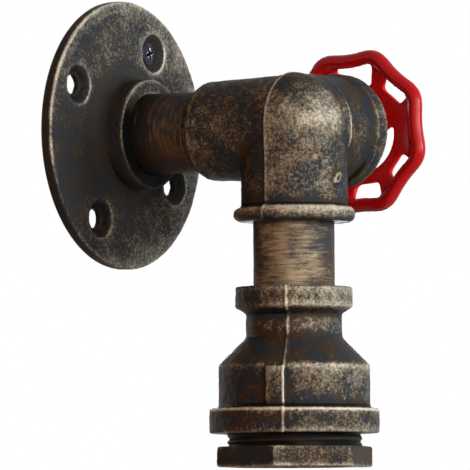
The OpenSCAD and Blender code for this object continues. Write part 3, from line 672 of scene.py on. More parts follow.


# gold rub on the flange, with painted light and shade
def flangeRubAndLight(piece, points, radius):
    size = flange
    x, y, z = points.T
    wide = np.hypot(x, z)
    facing = np.clip(-normalsOf(piece)[:, 1], 0, 1)
    edge = np.hypot(wide - radius + 0.3, y + size["plate"] - 0.3)
    broken = np.array([0.7 + 0.7 * noise.noise(Vector(point) / 9) for point in points])
    line = bell(edge, size["edgeLine"]) * broken * np.clip(0.25 - x / radius, 0.1, 1)
    line *= np.clip((z + 25) / 15, 0.1, 1)
    rubAndLight = 1.2 * line + (0.15 * z + 0.2 * x) / radius  # the edge, then painted light, more to the top and the right
    rubAndLight += 0.3 * bell(z + 0.9 * radius, 10)  # painted light on the lowest part
    # painted shade on the lower left, in the arm's shadow
    rubAndLight -= 0.35 * np.clip(-x / radius, 0, 1) * np.clip(0.6 - z / radius, 0, 1)
    hubEnd = (wide < size["hub"] - 0.9) * (y < -size["plate"])
    # painted shade on the hub's end face, darkest low down
    rubAndLight -= 0.7 * (1 - facing) + 2.2 * hubEnd * np.clip(1.75 - z / 8, 0.1, 1)
    hubRim = (wide < size["hub"] + 0.6) * (y < -size["plate"] - 4) * (1 - hubEnd)
    # painted shade on the lower and right parts of the hub's rim, leaving a painted highlight on its upper left
    rubAndLight -= 0.7 * hubRim * np.clip(-z / 14 - 0.3, 0, 1)
    rubAndLight -= 0.5 * hubRim * np.clip(x / 10 - 0.3, 0, 1)
    for holeX, holeZ in flangeHoles():
        across, above = x - holeX, z - holeZ
        away = np.hypot(across, above)
        rubAndLight -= 1.1 * (away < size["sink"] - 0.5)  # painted shade in the countersink
        # painted highlight on the right and lower edge of each countersink
        rim = bell(away - size["sink"], 0.45) * np.clip((across - 0.5 * above) / size["sink"], 0, 1)
        rubAndLight += rim * np.clip(0.55 + holeZ / 120, 0.3, 0.8)
    return rubAndLight


def makeFlange():
    low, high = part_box("wall_flange")
    radius = high.x / mm
    top = -low.y / mm
    size = flange
    piece = makeObject("wallFlange", lathe(outline([
        (size["bore"], 0), (radius, 0, size["backRound"]), (radius, size["plate"], size["edgeRound"]),
        (size["hub"], size["plate"], size["hubFillet"]), (size["hub"], top, size["hubRound"]),
        (size["seat"], top, size["mouthEdge"]), (size["seat"], size["stop"]), (size["bore"], size["stop"])]),
        onArm))
    for x, y in flangeHoles():
        spot = onArm @ Matrix.Translation((x, y, 0))
        combine(piece, lathe([
            (0, -1), (size["hole"], -1), (size["hole"], size["plate"] - size["sinkDepth"]),
            (size["sink"], size["plate"]), (size["sink"], top), (0, top)],
            spot, size["holeSteps"]), "DIFFERENCE")
    remesh(piece, size["voxel"], rounds=2)
    points = pointsOf(piece) / mm
    facing = -normalsOf(piece)[:, 1]
    wide = np.hypot(points[:, 0], points[:, 2])
    weight = np.clip(-points[:, 1] - 0.3, 0, 1) * np.clip(wide - size["seat"], 0, 1)
    roughen(piece, size["lumps"], weight * np.clip(facing + 1, 0, 1))
    markRelief(piece, flangeRubAndLight(piece, points, radius), proud=0.12, spread=3)
    finishPiece(piece, "wall_flange", "cast_bronze", flangeBronze)


makeFlange()


# Cross-head screw, a little below the flange's face
screw = {
    "shank": 3.0,
    "head": 5.3,
    "below": 1.5,
    "dome": 0.5,
    "cross": 5.6,
    "crossWidth": 1.2,
    "crossDepth": 1.9,
    "turn": 20,
    "steps": 96,
    "voxel": 0.14,
}


def crossRecess(place):
    # a cross that narrows towards its bottom
    rings = []
    for height, longer, thicker in ((0.6, 1, 1), (-screw["crossDepth"], 0.45, 0.7)):
        long = screw["cross"] / 2 * longer
        thin = screw["crossWidth"] / 2 * thicker
        ring = []
        for k in range(4):
            turned = place @ Matrix.Rotation(math.radians(screw["turn"]) + k * tau / 4, 4, "Z")
            ring += [turned @ Vector((x, y, height)) for x, y in ((long, -thin), (long, thin), (thin, thin))]
        rings.append(ring)
    return loft(rings)


def makeScrew():
    low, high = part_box("flange_screw")
    x, y = next(flangeHoles())
    place = onArm @ Matrix.Translation((x, y, 0))
    size = screw
    top = -low.y / mm - size["below"]
    root = flange["plate"] - flange["sinkDepth"]
    piece = makeObject("flangeScrew", lathe(outline([
        (0, -high.y / mm), (size["shank"], -high.y / mm, 0.4), (size["shank"], root, 0.2),
        (size["head"], top - size["dome"], 0.35), (size["head"] * 0.55, top - 0.1, 2), (0, top)]),
        place, size["steps"]))
    combine(piece, crossRecess(place @ Matrix.Translation((0, 0, top))), "DIFFERENCE")
    remesh(piece, size["voxel"], rounds=3)
    away = np.linalg.norm((pointsOf(piece) / mm)[:, ::2] - (x, y), axis=1)
    # painted glints only within the cross recess
    markRelief(piece, -2 * (away > size["cross"] / 2 - 0.2))
    finishPiece(piece, "flange_screw", "dark_steel")


makeScrew()


# Pipe nipples
pipes = {
    "radius": 13.45,
    "bore": 10.8,
    "edge": 0.5,
    "gap": 0.7,
    "steps": 128,
    "litSide": 206,
    "shadowLength": 14,  # near the flange, where the arm is kept dark: painted shadow
    "armShadow": 1.6,
    "lumps": [(9.0, 0.10), (2.5, 0.05)],
}


def makePipe(name, node, place, low, high, finish, shadow=0):
    edge = pipes["edge"]
    rows = spaced(outline([
        (pipes["bore"], low, edge), (pipes["radius"], low, edge),
        (pipes["radius"], high, edge), (pipes["bore"], high, edge)]), pipes["gap"])
    piece = makeObject(name, lathe(rows, place, pipes["steps"]))
    roughen(piece, pipes["lumps"], np.ones(len(piece.data.vertices)))
    lengthwise = np.array(place.inverted())[2]
    along = pointsOf(piece) @ lengthwise[:3] + lengthwise[3]
    # gold rub towards the lit front side and on top: painted light
    litRub = 1.1 * toward(piece, pipes["litSide"]) + 0.35 * normalsOf(piece)[:, 2]
    setRelief(piece, litRub - 0.95 - shadow * bell(along - low, pipes["shadowLength"]))
    finishPiece(piece, node, "pipe_bronze", finish)


armFront, armWall = span("arm_nipple", "y")
makePipe("armNipple", "arm_nipple", onArm, -armWall, -armFront, armPipeBronze, pipes["armShadow"])
makePipe("dropNipple", "drop_nipple", onDrop, *span("drop_nipple", "z"), finishes["pipe_bronze"])


# Corner elbow
elbow = {
    "dome": 18.2,
    "bore": 10.8,
    "plugBore": 10.55,
    "seat": 13.5,
    "seatDepth": 13.2,
    "rearRoot": 17.85,
    "rear": 16.8,
    "bevel": 4.6,
    "rearShort": 1.2,  # the casting's end is ground back a little
    "drop": 17.6,
    "bead": 20.1,
    "beadHeight": 4.8,
    "beadRound": 2.2,
    "taper": 9,  # length over which the dome narrows to the drop port
    "taperRound": 20,
    "neck": 18.0,
    "neckEnd": 2.4,
    "band": 19.0,
    "bandLength": 6,
    "seamStep": 0.45,
    "shoulder": 7.2,  # where the dome meets the side port
    "nubHeight": -17.2,
    "nubAcross": -1.0,
    "nubTurn": 34,
    "nub": 1.7,
    "nubOut": 0.7,
    "nubStretch": (1.3, 0.75),
    "litRub": (-6.5, -14.8, 7.0),  # painted highlight: the brightest spot of the dome
    "litWidth": 8,
    "paintedDimSide": 300,
    "voxel": 0.4,
    "lumps": [(4.5, 0.14), (1.7, 0.11), (0.9, 0.06)],
}


def castNub(place, radius, height):
    # a small dimpled boss
    return lathe(outline([(0, -2), (radius, -2), (radius, height, 0.35), (radius * 0.45, height, 0.2),
                          (radius * 0.3, height - 0.5), (0, height - 0.5)]), place, 32)


# gold rub on the elbow, with painted light and shade
def elbowRubAndLight(piece, points, ring, bandStart, rearEnd, beadTop):
    size = elbow
    x, y, z = points.T
    front = -y - reach
    upward = normalsOf(piece)[:, 2]
    portSide = x > size["shoulder"] + 1
    away = np.linalg.norm(points - np.array(size["litRub"]) - (0, -reach, 0), axis=1)
    nub = np.linalg.norm(points - (size["nubAcross"], -size["drop"] - reach, size["nubHeight"]), axis=1)
    under = np.clip(-z / 7 - 0.8, 0, 1)
    rubAndLight = 0.3 * bell(front - 0.4, 0.4) + 0.3 * ring  # the cast lines
    # painted highlight on the dome
    rubAndLight += 0.5 * bell(away, size["litWidth"]) - 0.5 * bell(nub, 2.5)
    # painted light on the front half, painted shade on the back half and the rear end
    rubAndLight += 0.08 * (front > 1) - 0.12 * (front < -1) - 0.2 * (front < 7 - rearEnd)
    rubAndLight -= 0.85 * np.clip(1.6 * upward - 0.4, 0, 1) * (z > 0) * (front > 1)  # painted shade on the top of the dome
    # painted: the right side darker, where the lamps' sheen falls
    rubAndLight -= 0.5 * np.clip(toward(piece, size["paintedDimSide"]) - 0.6, 0, 1) * (front > 1)
    # painted shade under the side port
    rubAndLight -= 0.15 * portSide * (z > -6) + 0.6 * portSide * np.clip(-upward - 0.2, 0, 1)
    rubAndLight -= 0.4 * (x > bandStart - 2) + 1.25 * under * bell(x - bandStart + 1.6, 2.0)  # shade below the band
    # painted highlight along the band's lower edge
    rubAndLight += 0.8 * under * bell(x - bandStart - 0.4, 0.4)
    # painted sheen on the upper part of the band
    rubAndLight += 0.35 * (x > bandStart) * np.clip(z / 6 + 0.2, 0, 1) * (upward < 0.8)
    # painted highlight on the bead's top, painted shade on its underside
    rubAndLight += (z < beadTop + 0.3) * (0.9 * upward - 0.32)
    rubAndLight -= 1.8 * bell(z - beadTop - 0.5, 0.6) * (upward < 0.5)  # painted shade above the bead
    return rubAndLight


def makeElbow():
    low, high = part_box("corner_elbow")
    size = elbow
    down = low.z / mm
    back = high.y / mm + reach
    rearEnd = back - size["rearShort"]
    side = high.x / mm
    bandStart = side - size["bandLength"]
    beadTop = down + size["beadHeight"]
    dome = [(size["dome"] * math.sin(tau / 4 * k / 24), size["dome"] * math.cos(tau / 4 * k / 24))
            for k in range(1, 25)]
    piece = makeObject("cornerElbow", lathe(outline([(0, size["dome"])] + dome + [
        (size["drop"], -size["taper"], size["taperRound"]), (size["drop"], beadTop, 0.8),
        (size["bead"], beadTop, size["beadRound"]), (size["bead"], down, size["beadRound"]),
        (0, down)]), onDrop))
    ports = [
        (onRear, [(0, 0), (size["rearRoot"], 0), (size["rear"], rearEnd - size["bevel"], 2.2),
                  (size["seat"] + 0.4, rearEnd, 0.3), (0, rearEnd)]),
        (onSide, [(0, 0), (size["neck"], 0), (size["neck"], bandStart - size["neckEnd"], 2.4),
                  (size["band"], bandStart, 0.6), (size["band"], side, 0.9), (0, side)]),
    ]
    for place, corners in ports:
        combine(piece, lathe(outline(corners), place), "UNION")
    bores = [(onDrop, -1, -down, size["bore"]), (onRear, 1, back, size["bore"]),
             (onSide, 1, side, size["plugBore"])]
    for place, way, length, bore in bores:
        seat = way * (length - size["seatDepth"])
        past = way * (length + 1)
        combine(piece, lathe([(0, 0), (bore, 0), (bore, seat), (size["seat"], seat), (size["seat"], past),
                              (0, past)], place), "DIFFERENCE")
    spot = onDrop @ Matrix.Translation((size["nubAcross"], -size["drop"], size["nubHeight"]))
    spot = spot @ Matrix.Rotation(tau / 4, 4, "X") @ Matrix.Rotation(math.radians(size["nubTurn"]), 4, "Z")
    spot = spot @ Matrix.Diagonal((*size["nubStretch"], 1, 1))
    combine(piece, castNub(spot, size["nub"], size["nubOut"]), "UNION")
    remesh(piece, size["voxel"], rounds=3)
    weight = outward(piece, [(onDrop, 0, down), (onRear, 0, back), (onSide, 0, side)])
    points = pointsOf(piece) / mm
    front = -points[:, 1] - reach
    ring = bell(points[:, 0] - size["shoulder"], 0.45) * (front > 5) * (points[:, 2] > -8)
    seam = size["seamStep"] * (rise(front, 0.1) - 0.6) + 0.12 * bell(front - 0.35, 0.35)
    roughen(piece, size["lumps"], weight, seam + 0.22 * ring)
    markRelief(piece, elbowRubAndLight(piece, points, ring, bandStart, rearEnd, beadTop) * weight)
    finishPiece(piece, "corner_elbow", "cast_bronze")


makeElbow()


# Bell reducer
reducer = {
    "seat": 13.5,
    "lip": 8.0,
    "lipTop": -65.9,
    "lipBottom": -69.4,
    "bellTop": -78.6,
    "footTop": -92.8,
    "bellInside": 20.95,
    "bushSeat": 22.35,
    "bushStop": -86.5,
    "collar": 19.35,
    "collarHeight": 6.7,
    "collarSlope": 2.1,
    "neck": 15.85,
    "bell": 25.0,
    "ribFrom": 192,
    "ribTo": 205,
    "ribOut": 1.3,
    "paintedDimSide": 124,
    "seamRidge": 0.34,
    "seamStep": 0.14,
    "voxel": 0.4,
    "lumps": [(4.0, 0.12), (1.6, 0.12), (0.9, 0.07)],
}


def ribShape(low, high, inner, outer, start, end):
    # a curved bar with a sloping top
    corners = [(inner, low), (outer, low), (outer, high - 1.5), (inner, high)]
    angles = [math.radians(start + (end - start) * k / 8) for k in range(9)]
    return loft([[onDrop @ Vector((radius * math.cos(angle), radius * math.sin(angle), height))
                  for radius, height in corners] for angle in angles])


def makeReducer():
    low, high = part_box("bell_reducer")
    size = reducer
    top = high.z / mm
    bottom = low.z / mm
    foot = high.x / mm
    footTop = size["footTop"]
    collarEnd = top - size["collarHeight"]
    neckTop = collarEnd - size["collarSlope"]
    piece = makeObject("bellReducer", lathe(outline([
        (size["seat"], top, 0.3), (size["seat"], size["lipTop"]), (size["lip"], size["lipTop"]),
        (size["lip"], size["lipBottom"]), (size["seat"] - 0.5, size["lipBottom"]),
        (size["bellInside"], size["bellTop"]), (size["bellInside"], size["bushStop"]),
        (size["bushSeat"], size["bushStop"]), (size["bushSeat"], bottom, 0.3), (foot, bottom, 0.7),
        (foot, footTop, 0.7), (size["bell"], footTop, 1.2), (size["bell"], size["bellTop"], 1.2),
        (size["neck"], size["lipBottom"], 2.0), (size["neck"], neckTop, 1.0),
        (size["collar"], collarEnd, 0.7), (size["collar"], top, 0.8)]), onDrop))
    rib = ribShape(footTop - 1, size["bellTop"] + 0.6, size["bell"] - 2, size["bell"] + size["ribOut"],
                   size["ribFrom"], size["ribTo"])
    combine(piece, rib, "UNION")
    remesh(piece, size["voxel"], rounds=3)
    weight = outward(piece, [(onDrop, top, bottom)])
    x, y, z = pointsOf(piece).T / mm
    turn = math.radians(size["ribTo"])
    ahead = (y + reach) * math.cos(turn) - x * math.sin(turn)
    facing = x * math.cos(turn) + (y + reach) * math.sin(turn) > 0
    wander = np.array([0.25 * noise.noise(Vector((0, 0, height / 4))) for height in z])
    line = bell(ahead + wander, 0.5) * facing
    seam = size["seamRidge"] * line + size["seamStep"] * (0.5 - rise(ahead, 0.2))
    roughen(piece, size["lumps"], weight, seam)
    upward = normalsOf(piece)[:, 2]
    # painted shade on upward faces and on the side away from the light
    rubAndLight = 0.35 * line - 0.8 * np.clip(upward, 0, 1) - 0.3 * (z < footTop)
    rubAndLight -= 0.65 * np.clip(toward(piece, size["paintedDimSide"]) + 0.1, 0, 1)
    rubAndLight += 0.3 * (z < neckTop) * (z > size["lipBottom"]) + 0.12 * (z < size["bellTop"]) * (z > footTop)
    rubAndLight += 1.3 * bell(z - footTop + 0.5, 0.5) * (np.hypot(x, y + reach) > foot - 1)  # edge of the foot
    rubAndLight -= 1.6 * bell(z - footTop - 0.6, 0.6) * (upward < 0.5)  # painted shade in the two corners
    # painted shadow under the collar
    rubAndLight -= 0.9 * bell(z - neckTop + 0.4, 0.7)
    markRelief(piece, rubAndLight * weight)
    finishPiece(piece, "bell_reducer", "cast_bronze")


makeReducer()


# Hex bushing, with its thread
bushing = {
    "bore": 19.4,
    "thread": 22.3,
    "threadDepth": 0.55,
    "pitch": 2.3,
    "hexHeight": 6.8,
    "flats": 46.0,
    "turn": 18,
    "litSide": 212,
    "lead": 0.4,  # chamfer of the bore
    "face": 1.8,  # width of the ring around it
    "gap": 0.45,
    "steps": 300,
    "lumps": [(3.5, 0.10), (1.4, 0.11), (0.8, 0.07)],
}


def makeBushing():
    bottom, top = span("hex_bushing", "z")
    size = bushing
    hexTop = bottom + size["hexHeight"]
    bore, lead = size["bore"], size["lead"]
    rows = [(bore, bottom + lead), (bore + lead, bottom), (bore + size["face"], bottom)]
    rows += hexRows(size["flats"], bottom, hexTop, math.radians(size["turn"]), size["gap"])
    rows += [(size["thread"] - size["threadDepth"], hexTop)]
    rows += threadRows(size["thread"], size["threadDepth"], size["pitch"], hexTop + 0.1, top)
    rows += [(bore + lead, top), (bore, top - lead)]
    rows += [(bore, top + (bottom - top) * k / 12) for k in range(1, 12)]  # keeps the bore's faces short
    piece = makeObject("hexBushing", lathe(rows, onDrop, size["steps"]))
    weight = outward(piece, [(onDrop, top, bottom)])
    roughen(piece, size["lumps"], weight * (pointsOf(piece)[:, 2] < hexTop * mm))
    relax(piece, rounds=2)
    # gold only on the facets facing the light, the others and the thread kept dark: painted light and shade
    litRub = np.clip(toward(piece, size["litSide"]) * 5 - 3.8, 0, 1)
    markRelief(piece, 0.45 * litRub - 1.05 - 0.4 * (pointsOf(piece)[:, 2] > hexTop * mm))
    finishPiece(piece, "hex_bushing", "cast_bronze")


makeBushing()


# Handwheel
wheel = {
    "rim": 25.2,
    "tube": 2.5,
    "lobes": 8,
    "lobeOut": 1.05,
    "lobePoint": 0.12,  # makes the lobes blunt corners with nearly straight sides
    "lobeAngle": 27,
    "dish": 4.8,
    "web": 2.4,
    "webInside": 12.9,
    "slots": [(42.5, 27, 19.4, 17.8), (-34.5, 23, 18.3, 18.9), (91, 36, 16.8, 17.2), (-77.5, 28, 17.3, 18.6),
              (163, 26, 17.4, 18.4), (207, 24, 18.4, 17.4)],  # angle, width, inner radius at each end
    "slotRound": 1.2,
    "spokes": 3,
    "spokeWidth": 9.6,
    "spokeThick": 1.9,
    "spokeAngle": 32,
    "hub": 7.0,
    "hubIn": 5.0,
    "hubOver": 2.5,
    "bore": 2.15,
    "edge": 0.8,
    "steps": 192,
    "rimSteps": 240,
    "tubeSteps": 24,
    "voxel": 0.42,
    "paintRounds": 16,  # how far the paint rounds the edges
}


def rimRings():
    def middle(angle):
        wave = wheel["lobes"] * angle
        radius = wheel["rim"] + wheel["lobeOut"] * math.cos(wave) + wheel["lobePoint"] * math.cos(2 * wave)
        turned = angle + math.radians(wheel["lobeAngle"])
        return Vector((radius * math.cos(turned), radius * math.sin(turned), wheelPlane))
    count = wheel["rimSteps"]
    up = Vector((0, 0, 1))
    around = [tau * j / wheel["tubeSteps"] for j in range(wheel["tubeSteps"])]
    for k in range(count):
        here = middle(tau * k / count)
        along = (middle(tau * (k + 1) / count) - middle(tau * (k - 1) / count)).normalized()
        out = along.cross(up)
        yield [onWheel @ (here + wheel["tube"] * (math.cos(turn) * out + math.sin(turn) * up))
               for turn in around]


def slotOutline(width, start, end):
    # round inner corners, open towards the rim
    outer = wheel["rim"] + wheel["lobeOut"]
    along = math.cos(math.radians(width) / 2)
    across = math.sin(math.radians(width) / 2)
    return outline([(start * along, -start * across, wheel["slotRound"]), (outer * along, -outer * across),
                    (outer * along, outer * across), (end * along, end * across, wheel["slotRound"])])


def makeHandwheel():
    size = wheel
    crown = wheelPlane + size["dish"]
    half = size["web"] / 2
    edge = size["edge"]
    piece = makeObject("handwheel", lathe(outline([
        (size["webInside"], crown - half, edge), (size["rim"], wheelPlane - half),
        (size["rim"], wheelPlane + half), (size["webInside"], crown + half, edge)]), onWheel, size["steps"]))
    for angle, width, start, end in size["slots"]:
        spot = onWheel @ Matrix.Rotation(math.radians(angle), 4, "Z")
        combine(piece, prism(slotOutline(width, start, end), wheelPlane - 3, crown + 3, spot), "DIFFERENCE")
    combine(piece, loft(list(rimRings()), loop=True), "UNION")
    thick, wide = size["spokeThick"] / 2, size["spokeWidth"] / 2
    bar = outline([(-thick, -wide, edge), (thick, -wide, edge), (thick, wide, edge), (-thick, wide, edge)])
    for k in range(size["spokes"]):
        angle = size["spokeAngle"] + k * 360 / size["spokes"]
        spot = onWheel @ Matrix.Rotation(math.radians(angle), 4, "Z")
        spot = spot @ Matrix.Translation((0, 0, crown)) @ Matrix.Rotation(tau / 4, 4, "Y")
        combine(piece, prism(bar, 0, size["webInside"] + 0.6, spot), "UNION")
    combine(piece, lathe(outline([
        (0, crown - size["hubIn"]), (size["hub"], crown - size["hubIn"], edge),
        (size["hub"], crown + size["hubOver"], edge), (0, crown + size["hubOver"])]),
        onWheel, size["steps"] // 2), "UNION")
    bore = size["bore"]
    combine(piece, prism([(-bore, -bore), (bore, -bore), (bore, bore), (-bore, bore)],
                         crown - 9, crown + 9, onWheel), "DIFFERENCE")
    remesh(piece, size["voxel"], rounds=10)
    relax(piece, size["paintRounds"], back=0)
    y, z = pointsOf(piece).T[1:] / mm
    inside = np.clip((size["rim"] - 1.5 - np.hypot(y + reach, z)) / 2.5, 0, 1)
    markRelief(piece, 3 * inside - 2)  # painted light: brighter red on the web than on the rim
    finishPiece(piece, "handwheel", "red_enamel", body="wheel")


makeHandwheel()


# Port bushing, and the switch's neck and spindle with their nuts and washers
sidePort = {
    "bushing": {"flats": 24, "thread": 13.45, "depth": 0.6, "pitch": 1.8, "bore": 10.55, "seat": 28.5,
                "endWall": 3.0, "neckHole": 5.05},
    "neck": {"crest": 5.0, "depth": 0.32, "pitch": 1.0, "bore": 3.05, "collar": 7.0, "collarLength": 1.2},
    "spindle": {"round": 3.0, "square": 4.2, "corner": 2.75, "crest": 1.9, "depth": 0.22, "pitch": 0.7},
    "locknut": {"flats": 14, "bore": 5.05},
    "wheelNut": {"flats": 7, "bore": 1.95},
    "neckWasher": {"outer": 8.0, "bore": 5.2},
    "wheelWasher": {"outer": 5.5, "bore": 2.0},
    "lead": 0.35,  # chamfers at the ends of bores and threads
    "gap": 0.25,
    "steps": 120,
    "bushingSteps": 180,
    "crease": 35,
}


def makePortBushing():
    size = sidePort["bushing"]
    low, high = span("port_bushing", "x")
    lead = sidePort["lead"]
    inner = high - size["endWall"]
    rows = [(size["bore"], low + lead), (size["bore"] + lead, low)]
    rows += threadRows(size["thread"], size["depth"], size["pitch"], low, size["seat"])
    rows += hexRows(size["flats"], size["seat"], high, 0, sidePort["gap"])
    rows += [(size["neckHole"] + lead, high), (size["neckHole"], high - lead), (size["neckHole"], inner),
             (size["bore"], inner)]
    piece = makeObject("portBushing", lathe(rows, onSide, sidePort["bushingSteps"]))
    markRelief(piece)
    finishPiece(piece, "port_bushing", "cast_bronze", crease=sidePort["crease"])


def neckRows(low, high):
    size = sidePort["neck"]
    lead = sidePort["lead"]
    collarEnd = low + size["collarLength"]
    rows = [(size["bore"], low), (size["collar"], low), (size["collar"], collarEnd)]
    rows += threadRows(size["crest"], size["depth"], size["pitch"], collarEnd, high - lead)
    rows += [(size["crest"] - size["depth"], high), (size["bore"] + lead, high), (size["bore"], high - lead)]
    return rows


def spindleRows(low, high):
    size = sidePort["spindle"]
    lead = sidePort["lead"]
    crown = wheelPlane + wheel["dish"]
    hubStart = crown - wheel["hubIn"]
    squareEnd = crown + wheel["hubOver"] - lead
    square = flatRadius(4, size["square"], tau / 8, size["corner"])
    rows = [(0, low), (size["round"] - lead, low), (size["round"], low + lead), (size["round"], hubStart)]
    rows += [(square, hubStart), (square, squareEnd)]
    rows += threadRows(size["crest"], size["depth"], size["pitch"], squareEnd, high - lead)
    return rows + [(size["crest"] - size["depth"] - lead, high), (0, high)]


def nutRows(low, high, flats, bore):
    lead = sidePort["lead"]
    rows = [(bore, low + lead), (bore + lead, low)]
    rows += hexRows(flats, low, high, 0, sidePort["gap"])
    return rows + [(bore + lead, high), (bore, high - lead)]


def washerRows(low, high, outer, bore):
    edge = (high - low) / 4
    return outline([(bore, low, edge / 2), (outer, low, edge), (outer, high, edge), (bore, high, edge / 2)])


def makeSidePort():
    makePortBushing()
    turned = [
        ("switchNeck", "switch_neck", neckRows, {}, "fixture"),
        ("switchSpindle", "switch_spindle", spindleRows, {}, "wheel"),
        ("neckLocknut", "neck_locknut", nutRows, sidePort["locknut"], "fixture"),
        ("handwheelNut", "handwheel_nut", nutRows, sidePort["wheelNut"], "wheel"),
        ("neckWasher", "neck_washer", washerRows, sidePort["neckWasher"], "fixture"),
        ("handwheelWasher", "handwheel_washer", washerRows, sidePort["wheelWasher"], "wheel"),
    ]
    for name, node, rows, sizes, body in turned:
        piece = makeObject(name, lathe(rows(*span(node, "x"), **sizes), onSide, sidePort["steps"]))
        finishPiece(piece, node, "zinc_steel", body=body, crease=sidePort["crease"])


makeSidePort()


# Lampholder: porcelain body, rolled brass shell and rivets
holder = {
    "outer": 19.0,
    "inner": 14.0,
    "floor": -91.9,
    "round": 1.0,
    "shell": 13.3,  # middle of the sheet
    "sheet": 0.4,
    "roll": 0.38,
    "pitch": 3.63,
    "plain": 5.5,
    "ledge": 11.8,
    "tabWidth": 5.0,
    "terminals": 9.0,
    "rivet": 1.5,
    "rivetHead": 2.6,
    "headHeight": 0.8,
    "steps": 120,
    "rivetSteps": 48,
    "crease": 40,
}


def makeHolder():
    size = holder
    low, high = span("lampholder_body", "z")
    piece = makeObject("lampholderBody", lathe(outline([
        (0, high), (size["outer"], high, size["round"]), (size["outer"], low, size["round"]),
        (size["inner"], low, size["round"] * 0.8), (size["inner"], size["floor"], 0.6), (0, size["floor"])]),
        onDrop))
    finishPiece(piece, "lampholder_body", "porcelain", crease=size["crease"])


def shellRadius(height, top, bottom, offset):
    # the rolled wave dies away at both ends of the thread
    fade = max(0, min(1, (top - height) / 1.5, (height - bottom) / 0.8))

    def radius(angle):
        wave = math.cos(tau * height / holder["pitch"] - angle)
        return holder["shell"] + offset + holder["roll"] * fade * wave
    return radius


def makeShell():
    size = holder
    low, high = span("screw_shell", "z")
    sheet = size["sheet"]
    outer, inner = sheet / 2, -sheet / 2
    top = high - size["plain"]
    heights = evenly(top, low, size["pitch"] / 12)
    rows = [(size["ledge"], high), (size["shell"] + inner, high), (size["shell"] + outer, high - sheet)]
    rows += [(shellRadius(height, top, low, outer), height) for height in heights]
    rows += [(shellRadius(height, top, low, inner), height) for height in reversed(heights)]
    rows += [(size["shell"] + inner, high - 2 * sheet), (size["shell"] + inner - sheet, high - sheet),
             (size["ledge"], high - sheet)]
    piece = makeObject("screwShell", lathe(rows, onDrop, size["steps"]))
    half = size["tabWidth"] / 2
    root, tip = -size["shell"] - inner - sheet, size["rivetHead"] - size["terminals"]
    tab = outline([(root, -half), (tip, -half, 1.5), (tip, half, 1.5), (root, half)])
    combine(piece, prism(tab, high - sheet, high, onDrop), "UNION")
    spot = onDrop @ Matrix.Translation((-size["terminals"], 0, 0))
    combine(piece, lathe([(0, high - 2), (size["rivet"], high - 2), (size["rivet"], high + 1), (0, high + 1)],
                         spot, size["rivetSteps"]), "DIFFERENCE")
    finishPiece(piece, "screw_shell", "contact_brass", crease=size["crease"])


def makeRivets():
    size = holder
    low, high = span("terminal_rivets", "z")
    head = low + size["headHeight"]
    rows = outline([(0, low), (size["rivetHead"] * 0.65, low, 1.2), (size["rivetHead"], head - 0.15, 0.1),
                    (size["rivetHead"], head), (size["rivet"], head), (size["rivet"], high), (0, high)])
    shape = None
    for side in (-1, 1):
        spot = onDrop @ Matrix.Translation((side * size["terminals"], 0, 0))
        shape = lathe(rows, spot, size["rivetSteps"], shape)
    piece = makeObject("terminalRivets", shape)
    finishPiece(piece, "terminal_rivets", "contact_brass", crease=size["crease"])


makeHolder()
makeShell()
makeRivets()


# Sprung strip that presses on the lamp's centre contact
tongue = {
    "sheet": 0.6,
    "width": 5.0,
    "pad": 1.6,
    "lift": 1.0,
    "bend": 0.9,
    "tip": 1.2,
    "dimple": 1.0,
    "dimpleOut": 0.3,
    "gap": 0.3,
    "steps": 14,
}


def ribbon(line, size, place):
    # a strip along a line in its own xz plane, with a rounded free end and a pressed dimple
    shape = bmesh.new()
    sides = {-1: [], 1: []}
    for i, here in enumerate(line):
        along = (line[min(i + 1, len(line) - 1)] - line[max(i - 1, 0)]).normalized()
        out = Vector((-along.y, along.x))
        short = size["tip"] - min(size["tip"], (line[-1] - here).length)
        half = size["width"] / 2 - size["tip"] + math.sqrt(size["tip"] ** 2 - short ** 2)
        spread = [half * (2 * j / size["steps"] - 1) for j in range(size["steps"] + 1)]
        for side, rows in sides.items():
            row = []
            for y in spread:
                dimple = size["dimpleOut"] * math.exp(-(here.x ** 2 + y ** 2) / size["dimple"] ** 2)
                spot = here + out * (side * size["sheet"] / 2 + dimple)
                row.append(shape.verts.new(place @ Vector((spot.x, y, spot.y))))
            rows.append(row)
    loops = []
    for rows in sides.values():
        away = [row[-1] for row in rows[1:-1]]
        home = [row[0] for row in rows[-2:0:-1]]
        loops.append(rows[0] + away + rows[-1][::-1] + home)
        for here, ahead in zip(rows, rows[1:]):
            for j in range(size["steps"]):
                shape.faces.new((here[j], here[j + 1], ahead[j + 1], ahead[j]))
    for k in range(len(loops[0])):
        shape.faces.new((loops[0][k - 1], loops[0][k], loops[1][k], loops[1][k - 1]))
    return faceOut(shape)


def makeTongue():
    size = tongue
    low, high = (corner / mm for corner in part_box("contact_tongue"))
    flat = low.z + size["sheet"] / 2
    line = spaced(outline([
        (high.x, high.z - size["sheet"] / 2), (size["pad"], flat, size["bend"]),
        (-size["pad"], flat, size["bend"]), (low.x, flat + size["lift"])]), size["gap"], closed=False)
    piece = makeObject("contactTongue", ribbon(line, size, onDrop))
    finishPiece(piece, "contact_tongue", "contact_brass", body="tongue", crease=holder["crease"])


makeTongue()


# Crimp splices and wires in the arm
splices = {
    "ring": 8.2,  # radius on which the splices lie
    "step": 39.9,  # degrees from one to the next
    "barrel": 2.3,
    "flare": 0.2,
    "flareLength": 1.6,
    "bore": 1.1,
    "boreDepth": 3.2,
    "dent": 0.75,
    "dentLength": 2.2,
    "dents": (0.3, 0.7),  # where they are along the barrel
    "gap": 0.6,
    "steps": 48,
    "crease": 40,
}
wires = [("liveWire", "live_wire", "wire_brown"), ("switchedWire", "switched_wire", "wire_black"),
         ("neutralWire", "neutral_wire", "wire_blue"), ("earthWire", "earth_wire", "wire_green")]


